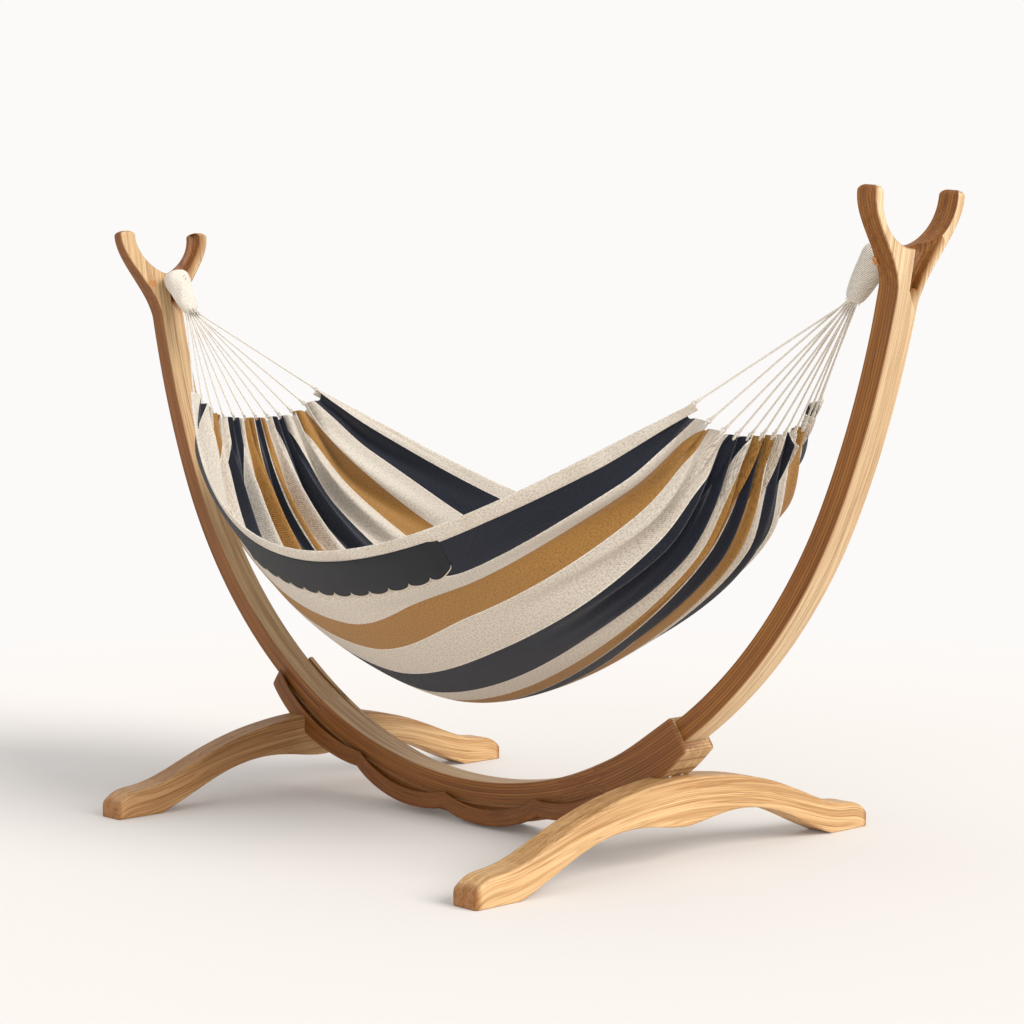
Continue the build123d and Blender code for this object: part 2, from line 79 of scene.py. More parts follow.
# ------------------------------------------------------------------ numbers and arrays
def smooth(values: Any, low: float, high: float) -> np.ndarray:
    """Ramp from 0 at low to 1 at high with flat ends: 3x^2 - 2x^3.

    Args:
        values: Where the ramp is wanted.
        low: Where it leaves 0.
        high: Where it reaches 1.

    Returns:
        The ramp's values.
    """
    x = np.clip((np.asarray(values, float) - low) / (high - low), 0.0, 1.0)
    return x * x * (3 - 2 * x)


def natural_spline(knots: np.ndarray, values: np.ndarray, at: np.ndarray) -> np.ndarray:
    """Natural cubic spline through (knots, values): second slopes from the tridiagonal system.

    Args:
        knots: Rising places.
        values: The curve's value at each.
        at: Where the curve is wanted.

    Returns:
        The curve's values there.
    """
    h = np.diff(knots)
    size = len(knots)
    system = np.eye(size)
    inner = np.arange(1, size - 1)
    system[inner, inner - 1] = h[:-1]
    system[inner, inner] = 2 * (h[:-1] + h[1:])
    system[inner, inner + 1] = h[1:]
    right = np.zeros(size)
    right[1:-1] = 6 * np.diff(np.diff(values) / h)
    bend = np.linalg.solve(system, right)
    i = np.clip(np.searchsorted(knots, at) - 1, 0, size - 2)
    a = (knots[i + 1] - at) / h[i]
    b = (at - knots[i]) / h[i]
    curve = ((a**3 - a) * bend[i] + (b**3 - b) * bend[i + 1]) * h[i] ** 2 / 6
    return a * values[i] + b * values[i + 1] + curve


def unit(vectors: np.ndarray) -> np.ndarray:
    """The same vectors at length 1, along the last axis."""
    return vectors / np.linalg.norm(vectors, axis=-1, keepdims=True)


def ring_pattern(length: np.ndarray, around: np.ndarray) -> np.ndarray:
    """Pattern coordinates of a piece that is wound or rolled about its own line.

    Args:
        length: How far along the line each row stands.
        around: How far round the line each column stands.

    Returns:
        (rows, columns, 3), the third coordinate 0.
    """
    return np.stack(np.broadcast_arrays(length[:, None], around[None], 0.0 * length[:, None]), -1)


def rounded_box(low_a: Any, high_a: Any, low_b: Any, high_b: Any, radii: Any,
                hollow_a: float = 1.0) -> np.ndarray:
    """Rounded rectangles, one for each station: a quarter circle at each corner.

    A support point stands a little beyond each end of each quarter circle, so that the flats
    between them shade flat.

    Args:
        low_a: Low side along the first direction, for each station.
        high_a: High side along it.
        low_b: Low side along the second direction.
        high_b: High side along it.
        radii: Corner radii, (stations, 4) or anything that broadcasts to it. The corners are
            high a with high b, low a with high b, low a with low b, high a with low b. A negative
            radius hollows the corner out instead.
        hollow_a: How much further a hollow reaches along the first direction than the second.

    Returns:
        Points (stations, 36, 2), counter-clockwise from the first corner.
    """
    low_a, high_a, low_b, high_b = np.broadcast_arrays(*[np.atleast_1d(np.asarray(v, float))
                                                         for v in (low_a, high_a, low_b, high_b)])
    size_a, size_b = high_a - low_a, high_b - low_b
    room = 0.5 * np.minimum(size_a, size_b)
    radii = np.broadcast_to(np.asarray(radii, float), (len(low_a), 4))
    radii = np.minimum(radii, room[:, None] * 0.96)
    hollows = np.maximum(-radii, 0)
    radii = np.maximum(radii, 0)
    support = np.minimum(1.5 * MM, 0.02 * np.minimum(size_a, size_b))
    hollow_limit = 0.62 * size_a[:, None]
    hollow_power = 0.7
    pieces = []
    for corner, (sign_a, sign_b) in enumerate([(1, 1), (-1, 1), (-1, -1), (1, -1)]):
        r = radii[:, corner]
        centre_a = np.where(sign_a > 0, high_a - r, low_a + r)
        centre_b = np.where(sign_b > 0, high_b - r, low_b + r)
        turn = CORNER + corner * math.pi / 2
        a = centre_a[:, None] + r[:, None] * np.cos(turn)
        b = centre_b[:, None] + r[:, None] * np.sin(turn)
        cut = hollows[:, corner][:, None]
        a = a - sign_a * np.minimum(cut * hollow_a, hollow_limit) * np.abs(np.sin(turn)) ** hollow_power
        b = b - sign_b * cut * np.abs(np.cos(turn)) ** hollow_power
        first, last = turn[0], turn[-1]
        before = np.stack([a[:, 0] + support * math.sin(first), b[:, 0] - support * math.cos(first)], -1)
        after = np.stack([a[:, -1] - support * math.sin(last), b[:, -1] + support * math.cos(last)], -1)
        pieces += [before[:, None], np.stack([a, b], -1), after[:, None]]
    return np.concatenate(pieces, 1)


def painted_shade_share() -> np.ndarray:
    """How far each point of a rounded box faces along its second direction, |sin|^1.5 from 0 to 1: its share
    of the painted shade.

    Returns:
        One share for each point of a section.
    """
    with_supports = np.concatenate([CORNER[:1], CORNER, CORNER[-1:]])
    corners = [with_supports + k * math.pi / 2 for k in range(4)]
    return np.abs(np.sin(np.concatenate(corners))) ** 1.5


# ------------------------------------------------------------------ meshes
class Shell:
    """Collects grids of points into one mesh, with a pattern coordinate at every point."""

    def __init__(self, name: str) -> None:
        """Start an empty mesh.

        Args:
            name: The name of the object that it becomes.
        """
        self.name = name
        self.points: list[np.ndarray] = []
        self.pattern: list[np.ndarray] = []
        self.side: list[np.ndarray] = []
        self.faces: list[list[int]] = []
        self.count = 0

    def grid(self, points: np.ndarray, pattern: np.ndarray, ring: bool = False, caps: bool = False,
             loop: bool = False, side: Any = 0.0) -> None:
        """Add a grid of points, with a four-sided face in each cell.

        Args:
            points: (rows, columns, 3).
            pattern: The pattern coordinate of each point, of the same shape.
            ring: Whether the last column joins the first.
            caps: Whether the first and last rows are closed with a face.
            loop: Whether the last row joins the first.
            side: How far each point takes the finish's painted shade, from 0 to 1.
        """
        rows, columns = points.shape[:2]
        index = np.arange(rows * columns).reshape(rows, columns) + self.count
        if ring:
            index = np.concatenate([index, index[:, :1]], 1)
        if loop:
            index = np.concatenate([index, index[:1]], 0)
        cells = np.stack([index[:-1, :-1], index[:-1, 1:], index[1:, 1:], index[1:, :-1]], -1)
        self.faces += cells.reshape(-1, 4).tolist()
        if caps:
            self.faces.append(index[0, :columns][::-1].tolist())
            self.faces.append(index[rows - 1, :columns].tolist())
        self.points.append(points.reshape(-1, 3))
        self.pattern.append(pattern.reshape(-1, 3))
        self.side.append(np.broadcast_to(np.asarray(side, float), (rows, columns)).ravel())
        self.count += rows * columns

    def build(self, finish: "Finish", body: Body, replaces: list[str], outward: bool = True,
              sharp: float = 38.0) -> bpy.types.Object:
        """Make the object, dress it and tie it to its body.

        Args:
            finish: Its material.
            body: The body that it rides on.
            replaces: The frame's nodes that it stands for.
            outward: Whether to turn a closed mesh's faces outwards.
            sharp: Edges that turn more than this many degrees stay sharp.

        Returns:
            The new object.
        """
        mesh = bpy.data.meshes.new(self.name)
        mesh.from_pydata(np.concatenate(self.points).tolist(), [], self.faces)
        attribute = mesh.attributes.new("pattern", "FLOAT_VECTOR", "POINT")
        attribute.data.foreach_set("vector", np.concatenate(self.pattern).astype(np.float32).ravel())
        attribute = mesh.attributes.new("side", "FLOAT", "POINT")
        attribute.data.foreach_set("value", np.concatenate(self.side).astype(np.float32))
        if outward:
            work = bmesh.new()
            work.from_mesh(mesh)
            bmesh.ops.recalc_face_normals(work, faces=work.faces)
            work.to_mesh(mesh)
            work.free()
        mesh.shade_smooth()
        mesh.set_sharp_from_angle(angle=math.radians(sharp))
        made = bpy.data.objects.new(self.name, mesh)
        bpy.context.scene.collection.objects.link(made)
        made.data.materials.append(finish.material())
        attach(made, body.value)
        if replaces:
            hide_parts(*replaces)
        LOG.info("%s: %d points", self.name, self.count)
        return made


def tube(path: np.ndarray, radius: Any, around: int, twist: float = 0.0, strands: int = 3, lay: float = 0.0,
         up: tuple[float, float, float] = (0.0, 1.0, 0.15)) -> tuple[np.ndarray, np.ndarray]:
    """Rope along a path: a circle carried along it, its radius dented between the strands.

    The radius is radius * (1 - lay * (1 - |cos(strands / 2 * (angle - twist * length))|)).

    Args:
        path: (stations, 3).
        radius: One radius, or one for each station.
        around: Points in a ring.
        twist: Turns of the strands for each metre.
        strands: How many strands.
        lay: How deep the dents are, as a share of the radius.
        up: A direction that the path never takes.

    Returns:
        The points (stations, around, 3), and their pattern.
    """
    tangent = unit(np.gradient(path, axis=0))
    across = unit(np.cross(tangent, np.array(up)))
    over = np.cross(across, tangent)
    length = np.concatenate([[0], np.cumsum(np.linalg.norm(np.diff(path, axis=0), axis=1))])
    angle = np.linspace(0, TURN, around, endpoint=False)
    phase = strands / 2 * (angle[None] - TURN * twist * length[:, None])
    r = np.broadcast_to(np.asarray(radius, float), (len(path),))[:, None]
    r = r * (1 - lay * (1 - np.abs(np.cos(phase))))
    ring = across[:, None] * np.cos(angle)[None, :, None] + over[:, None] * np.sin(angle)[None, :, None]
    points = path[:, None] + ring * r[..., None]
    return points, ring_pattern(length, angle * 0.005)


# ------------------------------------------------------------------ finishes
def linear(colour: str) -> tuple[float, float, float, float]:
    """An sRGB hex colour as linear red, green, blue and 1.

    Args:
        colour: Such as #c08a50.

    Returns:
        The linear colour.
    """
    parts = [int(colour[i:i + 2], 16) / 255 for i in (1, 3, 5)]
    red, green, blue = [p / 12.92 if p <= 0.04045 else ((p + 0.055) / 1.055) ** 2.4 for p in parts]
    return red, green, blue, 1.0


def add(tree: bpy.types.NodeTree, kind: str, inputs: dict[Any, Any] | None = None,
        stops: list[tuple[float, str]] | None = None, **settings: Any) -> bpy.types.Node:
    """Add a node with its settings and links.

    Args:
        tree: The node tree.
        kind: The node's type, without ShaderNode.
        inputs: A value or another node's output for each input, by name or number.
        stops: A colour ramp's places and colours.
        settings: The node's properties.

    Returns:
        The new node.
    """
    made = tree.nodes.new("ShaderNode" + kind)
    for key, value in settings.items():
        setattr(made, key, value)
    for key, value in (inputs or {}).items():
        if isinstance(value, bpy.types.NodeSocket):
            tree.links.new(value, made.inputs[key])
        else:
            made.inputs[key].default_value = value
    if stops:
        elements = made.color_ramp.elements
        while len(elements) < len(stops):
            elements.new(1.0)
        for element, (place, colour) in zip(elements, sorted(stops)):
            element.position = place
        for element, (place, colour) in zip(elements, sorted(stops)):
            element.color = linear(colour)
    return made


class Finish:
    """A material that is made once and then shared."""

    name = "finish"
    slot = "oak"
    _made: dict[str, bpy.types.Material] = {}

    def material(self) -> bpy.types.Material:
        """The Blender material, made at the first call."""
        if self.name not in Finish._made:
            made = bpy.data.materials.new(self.name)
            made.use_nodes = True
            made.node_tree.nodes.clear()
            shader = self.shade(made.node_tree)
            add(made.node_tree, "OutputMaterial", {"Surface": shader.outputs[0]})
            Finish._made[self.name] = made
        return Finish._made[self.name]

    def shade(self, tree: bpy.types.NodeTree) -> bpy.types.Node:
        """Add the finish's nodes.

        Args:
            tree: The material's empty node tree.

        Returns:
            Its shader.
        """
        raise NotImplementedError


@dataclass(frozen=True)
class OiledOak(Finish):
    """Steam-bent oak, planed, sanded and oiled: long open pores, satin, darker glue lines."""

    name: str = "oiled_bent_oak"
    slot: str = "oak"
    pale: str = "#c9af88"
    mid: str = "#bc9f77"
    dark: str = "#a18058"
    glue: str = "#6b4a2a"
    painted_shade_tone: str = "#b48a52"       # painted shade: the tone that faces turned along Y are darkened to
    lamination: float = 7.4 * MM     # thickness of one bent layer
    figure: float = 9.0 * MM         # width of the broad growth figure
    pore: float = 1.3 * MM           # width of the fine streaks, drawn coarse enough to show
    streak: float = 0.20             # length of the fine streaks
    ring_depth: float = 0.5          # how far the growth rings darken the wood
    line_depth: float = 0.85         # how far a glue line covers it
    drift: float = 2.2               # waves of the figure for each metre along the grain
    rings: float = 9.0               # twice the number of growth rings across the figure

    def shade(self, tree: bpy.types.NodeTree) -> bpy.types.Node:
        """Growth figure and pores drawn out along the grain, and a line at each glued layer.

        Args:
            tree: The material's empty node tree.

        Returns:
            Its shader.
        """
        place = add(tree, "Attribute", attribute_name="pattern").outputs["Vector"]
        broad_at = add(tree, "VectorMath", {0: place, 1: (self.drift, 1 / self.figure, 1 / self.figure)},
                       operation="MULTIPLY").outputs[0]
        broad = add(tree, "TexNoise", {"Vector": broad_at, "Scale": 1.0, "Detail": 4.0, "Distortion": 0.7})
        fine_at = add(tree, "VectorMath", {0: place, 1: (1 / self.streak, 1 / self.pore, 1 / self.pore)},
                      operation="MULTIPLY").outputs[0]
        fine = add(tree, "TexNoise", {"Vector": fine_at, "Scale": 1.0, "Detail": 3.0, "Roughness": 0.6})
        rings = add(tree, "Math", {0: broad.outputs["Fac"], 1: self.rings}, operation="MULTIPLY").outputs[0]
        rings = add(tree, "Math", {0: rings, 1: 1.0}, operation="PINGPONG").outputs[0]
        base = add(tree, "ValToRGB", {"Fac": broad.outputs["Fac"]},
                   stops=[(0.28, self.dark), (0.45, self.mid), (0.62, self.pale)]).outputs["Color"]
        ring_tone = add(tree, "ValToRGB", {"Fac": rings}, stops=[(0.0, "#d9c9b6"), (0.35, "#ffffff")])
        base = add(tree, "MixRGB", {"Fac": self.ring_depth, "Color1": base,
                                    "Color2": ring_tone.outputs["Color"]},
                   blend_type="MULTIPLY").outputs["Color"]
        pores = add(tree, "ValToRGB", {"Fac": fine.outputs["Fac"]},
                    stops=[(0.34, "#a28c74"), (0.50, "#f6f0e8"), (0.70, "#ffffff")]).outputs["Color"]
        base = add(tree, "MixRGB", {"Fac": 0.75, "Color1": base, "Color2": pores},
                   blend_type="MULTIPLY").outputs["Color"]
        depth = add(tree, "SeparateXYZ", {0: place}).outputs["Y"]
        layer = add(tree, "Math", {0: depth, 1: self.lamination}, operation="DIVIDE").outputs[0]
        within = add(tree, "Math", {0: layer}, operation="FRACT").outputs[0]
        whole = add(tree, "Math", {0: layer}, operation="FLOOR").outputs[0]
        tone = add(tree, "TexWhiteNoise", {"W": whole}, noise_dimensions="1D").outputs["Value"]
        tone = add(tree, "ValToRGB", {"Fac": tone},
                   stops=[(0.0, "#e4dacd"), (1.0, "#ffffff")]).outputs["Color"]
        base = add(tree, "MixRGB", {"Fac": 0.9, "Color1": base, "Color2": tone},
                   blend_type="MULTIPLY").outputs["Color"]
        line = add(tree, "ValToRGB", {"Fac": within},
                   stops=[(0.0, "#ffffff"), (0.20, "#000000"), (0.88, "#000000"), (1.0, "#ffffff")])
        line = add(tree, "Math", {0: line.outputs["Color"], 1: self.line_depth},
                   operation="MULTIPLY").outputs[0]
        base = add(tree, "MixRGB", {"Fac": line, "Color1": base,
                                    "Color2": linear(self.glue)}).outputs["Color"]
        # painted shade: the side attribute darkens the wood towards the shade tone on faces turned along Y,
        # in the arms' hollows, on the aprons and at the feet's ends
        painted_side_shade = add(tree, "Attribute", attribute_name="side").outputs["Fac"]
        base = add(tree, "MixRGB", {"Fac": painted_side_shade, "Color1": base, "Color2": linear(self.painted_shade_tone)},
                   blend_type="MULTIPLY").outputs["Color"]
        rough = add(tree, "MapRange", {"Value": fine.outputs["Fac"], "To Min": 0.62,
                                       "To Max": 0.42}).outputs[0]
        height = add(tree, "Math", {0: fine.outputs["Fac"], 1: line}, operation="SUBTRACT").outputs[0]
        bump = add(tree, "Bump", {"Height": height, "Strength": 0.25, "Distance": 0.6 * MM}).outputs[0]
        return add(tree, "BsdfPrincipled", {"Base Color": base, "Roughness": rough, "Normal": bump,
                                            "IOR": 1.5, "Specular IOR Level": 0.35})


@dataclass(frozen=True)
class OakEndGrain(Finish):
    """Turned oak plug, sanded flush and oiled: rings and dark pores, a little deeper in colour."""

    name: str = "oiled_oak_end_grain"
    slot: str = "oak_end_grain"
    pale: str = "#c08447"
    dark: str = "#8a5526"
    ring: float = 2.5 * MM

    def shade(self, tree: bpy.types.NodeTree) -> bpy.types.Node:
        """Bands a ring apart, broken up by pores.

        Args:
            tree: The material's empty node tree.

        Returns:
            Its shader.
        """
        place = add(tree, "TexCoord").outputs["Object"]
        rings = add(tree, "TexWave", {"Vector": place, "Scale": 1 / (self.ring * TURN), "Distortion": 3.0,
                                      "Detail": 2.0}, bands_direction="DIAGONAL")
        colour = add(tree, "ValToRGB", {"Fac": rings.outputs["Fac"]},
                     stops=[(0.0, self.dark), (1.0, self.pale)]).outputs["Color"]
        bump = add(tree, "Bump", {"Height": rings.outputs["Fac"], "Strength": 0.2, "Distance": 0.4 * MM})
        return add(tree, "BsdfPrincipled", {"Base Color": colour, "Roughness": 0.5,
                                            "Normal": bump.outputs[0]})


@dataclass(frozen=True)
class WovenCotton(Finish):
    """Hand-loom cotton: thick ribs across the cloth, matt, with a soft bloom at grazing angles."""

    name: str = "cream_woven_cotton"
    slot: str = "cream_cloth"
    colour: str = "#e4dccf"
    second: str = "#d6ccbd"
    rib: float = 5.2 * MM            # from one rib to the next; drawn coarse enough to show
    thread: float = 3.4 * MM         # from one warp thread to the next
    stripes: tuple[tuple[float, str], ...] = ()
    width: float = 1.443             # flat width of the cloth
    weave_shade_depth: float = 0.6              # how far painted shade in the hollows of the weave darkens it
    edging: str = ""                 # colour of the bound edge, where there is one

    def shade(self, tree: bpy.types.NodeTree) -> bpy.types.Node:
        """Colour by stripe, flecked by thread, painted shade in the hollows of the weave, and a bump of ribs
        crossed by threads.

        Args:
            tree: The material's empty node tree.

        Returns:
            Its shader.
        """
        place = add(tree, "Attribute", attribute_name="pattern").outputs["Vector"]
        split = add(tree, "SeparateXYZ", {0: place})
        along, over, edge = split.outputs["X"], split.outputs["Y"], split.outputs["Z"]
        fleck_at = add(tree, "VectorMath", {0: place, 1: (1 / (1.2 * self.rib), 1 / self.thread, 0.0)},
                       operation="MULTIPLY").outputs[0]
        fleck = add(tree, "TexNoise", {"Vector": fleck_at, "Scale": 1.0, "Detail": 2.0}).outputs["Fac"]
        cloudy = add(tree, "TexNoise", {"Vector": place, "Scale": 9.0, "Detail": 2.0}).outputs["Fac"]
        if self.stripes:
            middle = add(tree, "Math", {0: over, 1: self.width / 2}, operation="SUBTRACT").outputs[0]
            middle = add(tree, "Math", {0: middle}, operation="ABSOLUTE").outputs[0]
            share = add(tree, "Math", {0: middle, 1: 2 / self.width}, operation="MULTIPLY").outputs[0]
            ramp = add(tree, "ValToRGB", {"Fac": share}, stops=list(self.stripes))
            ramp.color_ramp.interpolation = "CONSTANT"
            colour = ramp.outputs["Color"]
        else:
            colour = add(tree, "ValToRGB", {"Fac": cloudy},
                         stops=[(0.3, self.second), (0.6, self.colour)]).outputs["Color"]
        speck = add(tree, "ValToRGB", {"Fac": fleck}, stops=[(0.30, "#b9b4ad"), (0.55, "#ffffff")])
        colour = add(tree, "MixRGB", {"Fac": 0.6, "Color1": colour, "Color2": speck.outputs["Color"]},
                     blend_type="MULTIPLY").outputs["Color"]
        lift = add(tree, "ValToRGB", {"Fac": fleck}, stops=[(0.56, "#000000"), (0.80, "#1d2026")])
        colour = add(tree, "MixRGB", {"Fac": 0.55, "Color1": colour, "Color2": lift.outputs["Color"]},
                     blend_type="ADD").outputs["Color"]
        if self.edging:
            at_edge = add(tree, "Math", {0: edge, 1: 0.5}, operation="GREATER_THAN").outputs[0]
            colour = add(tree, "MixRGB", {"Fac": at_edge, "Color1": colour, "Color2": linear(self.edging)})
            colour = colour.outputs["Color"]
        ribs = add(tree, "Math", {0: along, 1: TURN / self.rib}, operation="MULTIPLY").outputs[0]
        ribs = add(tree, "Math", {0: ribs}, operation="SINE").outputs[0]
        threads = add(tree, "Math", {0: over, 1: TURN / self.thread}, operation="MULTIPLY").outputs[0]
        threads = add(tree, "Math", {0: threads}, operation="SINE").outputs[0]
        weave = add(tree, "Math", {0: ribs, 1: threads}, operation="MULTIPLY").outputs[0]
        weave = add(tree, "Math", {0: weave, 1: fleck}, operation="ADD").outputs[0]
        # painted shade in the hollows of the weave
        ridges = add(tree, "MapRange", {"Value": weave, "From Min": -0.5, "From Max": 1.4}).outputs[0]
        shades = add(tree, "ValToRGB", {"Fac": ridges}, stops=[(0.0, "#a8a49f"), (0.75, "#ffffff")])
        colour = add(tree, "MixRGB", {"Fac": self.weave_shade_depth, "Color1": colour,
                                      "Color2": shades.outputs["Color"]},
                     blend_type="MULTIPLY").outputs["Color"]
        bump = add(tree, "Bump", {"Height": weave, "Strength": 0.7, "Distance": 1.2 * MM}).outputs[0]
        return add(tree, "BsdfPrincipled", {"Base Color": colour, "Roughness": 0.9, "Normal": bump,
                                            "Sheen Weight": 0.15, "Sheen Roughness": 0.5,
                                            "Specular IOR Level": 0.2})


@dataclass(frozen=True)
class TwistedCotton(Finish):
    """Undyed cotton cord and twine: soft fibres, matt, with painted shade between the turns of the twine."""

    name: str = "undyed_cotton_cord"
    slot: str = "cotton_cord"
    pale: str = "#d0cac0"
    shade_colour: str = "#aaa397"
    # painted shade between the turns of the twine
    groove: str = "#8d8375"
    fibre: float = 0.8 * MM

    def shade(self, tree: bpy.types.NodeTree) -> bpy.types.Node:
        """Fibres a little lighter and darker than each other, and painted shade in the lay between the
        turns.

        Args:
            tree: The material's empty node tree.

        Returns:
            Its shader.
        """
        place = add(tree, "TexCoord").outputs["Object"]
        fibres = add(tree, "TexNoise", {"Vector": place, "Scale": 0.5 / self.fibre,
                                        "Detail": 3.0}).outputs["Fac"]
        colour = add(tree, "ValToRGB", {"Fac": fibres},
                     stops=[(0.30, self.shade_colour), (0.62, self.pale)]).outputs["Color"]
        # painted shade: the side attribute darkens the twine between its turns
        between = add(tree, "Attribute", attribute_name="side").outputs["Fac"]
        colour = add(tree, "MixRGB", {"Fac": between, "Color1": colour, "Color2": linear(self.groove)},
                     blend_type="MULTIPLY").outputs["Color"]
        bump = add(tree, "Bump", {"Height": fibres, "Strength": 0.5, "Distance": 0.5 * MM}).outputs[0]
        return add(tree, "BsdfPrincipled", {"Base Color": colour, "Roughness": 0.92, "Normal": bump,
                                            "Sheen Weight": 0.2, "Specular IOR Level": 0.2})


@dataclass(frozen=True)
class ZincSteel(Finish):
    """Zinc-plated steel wire and bolts: bright grey with a cloudy, slightly rough plate."""

    name: str = "zinc_plated_steel"
    slot: str = "zinc_steel"
    colour: str = "#c6c6c2"
    cloud: float = 6.0 * MM

    def shade(self, tree: bpy.types.NodeTree) -> bpy.types.Node:
        """Metal whose roughness drifts over a few millimetres.

        Args:
            tree: The material's empty node tree.

        Returns:
            Its shader.
        """
        place = add(tree, "TexCoord").outputs["Object"]
        clouds = add(tree, "TexNoise", {"Vector": place, "Scale": 1 / self.cloud,
                                        "Detail": 3.0}).outputs["Fac"]
        rough = add(tree, "MapRange", {"Value": clouds, "To Min": 0.28, "To Max": 0.5}).outputs[0]
        bump = add(tree, "Bump", {"Height": clouds, "Strength": 0.1, "Distance": 0.2 * MM}).outputs[0]
        return add(tree, "BsdfPrincipled", {"Base Color": linear(self.colour), "Metallic": 1.0,
                                            "Roughness": rough, "Normal": bump})


@dataclass(frozen=True)
class StudioFloor(Finish):
    """Matt white studio paper that gives back a little light of its own."""

    name: str = "studio_floor"
    slot: str = ""
    seen: str = "#cdcbc9"            # its colour to the eye
    returned: str = "#ece4dc"        # its colour as it lights the object from below
    light: str = "#fdf8f3"           # the colour of its glow
    glow: float = 0.07
    fade_from: float = 1.9           # where it starts to clear, from the middle
    fade_to: float = 5.0             # where it is clear

    def shade(self, tree: bpy.types.NodeTree) -> bpy.types.Node:
        """Plain diffuse white with a small even glow, fading away far from the object.

        Args:
            tree: The material's empty node tree.

        Returns:
            Its shader.
        """
        place = add(tree, "TexCoord").outputs["Object"]
        far = add(tree, "VectorMath", {0: place}, operation="LENGTH").outputs["Value"]
        gone = add(tree, "MapRange", {"Value": far, "From Min": self.fade_from, "From Max": self.fade_to},
                   interpolation_type="SMOOTHSTEP").outputs[0]
        direct = add(tree, "LightPath").outputs["Is Camera Ray"]
        colour = add(tree, "MixRGB", {"Fac": direct, "Color1": linear(self.returned),
                                      "Color2": linear(self.seen)}).outputs["Color"]
        glow = add(tree, "Math", {0: direct, 1: self.glow}, operation="MULTIPLY").outputs[0]
        paper = add(tree, "BsdfPrincipled", {"Base Color": colour, "Roughness": 1.0,
                                             "Specular IOR Level": 0.0, "Emission Strength": glow,
                                             "Emission Color": linear(self.light)})
        clear = add(tree, "BsdfTransparent")
        return add(tree, "MixShader", {0: gone, 1: paper.outputs[0], 2: clear.outputs[0]})


NAVY = "#171d2c"
OCHRE = "#ab7e40"
CREAM = "#ded6ca"
PICK = "#f0e9dd"
BAND_ENDS = (0.044, 0.144, 0.240, 0.390, 0.536, 0.670, 0.814, 0.940)
BAND_COLOURS = (NAVY, OCHRE, CREAM, NAVY, CREAM, OCHRE, CREAM, NAVY, CREAM)


def stripe_stops(line: float = 0.0035) -> tuple[tuple[float, str], ...]:
    """Stops of the stripes from the middle of the cloth to its rim, with a pale pick at each edge.

    Args:
        line: Width of a pale pick, as a share of half the cloth.

    Returns:
        The stops of a ramp that doesn't blend.
    """
    stops = [(0.0, BAND_COLOURS[0])]
    for end, colour in zip(BAND_ENDS, BAND_COLOURS[1:]):
        stops += [(end - line / 2, PICK), (end + line / 2, colour)]
    return tuple(stops)


OAK = OiledOak()
# each shade tone given below is the colour of the painted shade on that finish
PALE_OAK = OiledOak(name="oiled_pale_oak", pale="#e2ceac", mid="#d6be9a", dark="#b99c76",
                    painted_shade_tone="#a67a3c")
FOOT_OAK = OiledOak(name="oiled_sawn_oak", lamination=55.0 * MM, figure=11.0 * MM, pore=1.4 * MM,
                    glue="#a58358", pale="#d1b388", mid="#c4a274", dark="#aa8459", ring_depth=0.8,
                    line_depth=0.3)
# the aprons' oak, whose shade tone is painted shade laid over the whole apron
APRON_OAK = OiledOak(name="oiled_carved_oak", lamination=9.0 * MM, line_depth=0.35, painted_shade_tone="#a2773e")
END_GRAIN = OakEndGrain()
STRIPED = WovenCotton(name="striped_woven_cotton", slot="striped_cloth", stripes=stripe_stops())
CREAM_CLOTH = WovenCotton()
NAVY_CLOTH = WovenCotton(name="navy_woven_cotton", slot="navy_cloth", colour="#12161f", second="#0f131b",
                         edging="#ddd2c0")
CORD_COTTON = TwistedCotton()
TWINE = TwistedCotton(name="wound_cotton_twine", slot="cotton_twine", pale="#d9d4cb", shade_colour="#aba396")
ZINC = ZincSteel()


# ------------------------------------------------------------------ the curve of the stand
@dataclass
class Arc:
    """The stand's curve: a lower arc, and a flatter upper arc tangent to it at the bend."""

    radius: float = 1.324            # of the outer curve of the lower arc
    centre_z: float = 1.380
    upper_radius: float = 2.320      # of the outer curve of the upper arc
    bend: float = math.radians(66)   # from straight down to where the two arcs meet
    depth: float = 0.055             # of the beam, across the curve
    half_width: float = 0.037        # of the beam, along Y

    def low(self, angle: Any, inset: Any) -> tuple[np.ndarray, np.ndarray]:
        """Places on the lower arc.

        Args:
            angle: Degrees from straight down.
            inset: How far in from the outer curve.

        Returns:
            x and z.
        """
        r = self.radius - inset
        a = np.radians(angle)
        return r * np.sin(a), self.centre_z - r * np.cos(a)

    def at_height(self, height: np.ndarray, inset: np.ndarray) -> tuple[np.ndarray, ...]:
        """Places across the beam where its middle line has a given height.

        Args:
            height: Height of the beam's middle line.
            inset: How far in from the outer curve, at right angles to it.

        Returns:
            x, z, and the length along the outer curve.
        """
        middle = self.depth / 2
        shift = self.radius - self.upper_radius
        upper_x = shift * math.sin(self.bend)
        upper_z = self.centre_z - shift * math.cos(self.bend)
        lower = np.arccos(np.clip((self.centre_z - height) / (self.radius - middle), -1, 1))
        upper = np.arccos(np.clip((upper_z - height) / (self.upper_radius - middle), -1, 1))
        is_low = lower < self.bend
        x = np.where(is_low, (self.radius - inset) * np.sin(lower),
                     upper_x + (self.upper_radius - inset) * np.sin(upper))
        z = np.where(is_low, self.centre_z - (self.radius - inset) * np.cos(lower),
                     upper_z - (self.upper_radius - inset) * np.cos(upper))
        length = np.where(is_low, self.radius * lower,
                          self.radius * self.bend + self.upper_radius * (upper - self.bend))
        return x, z, length


ARC = Arc()


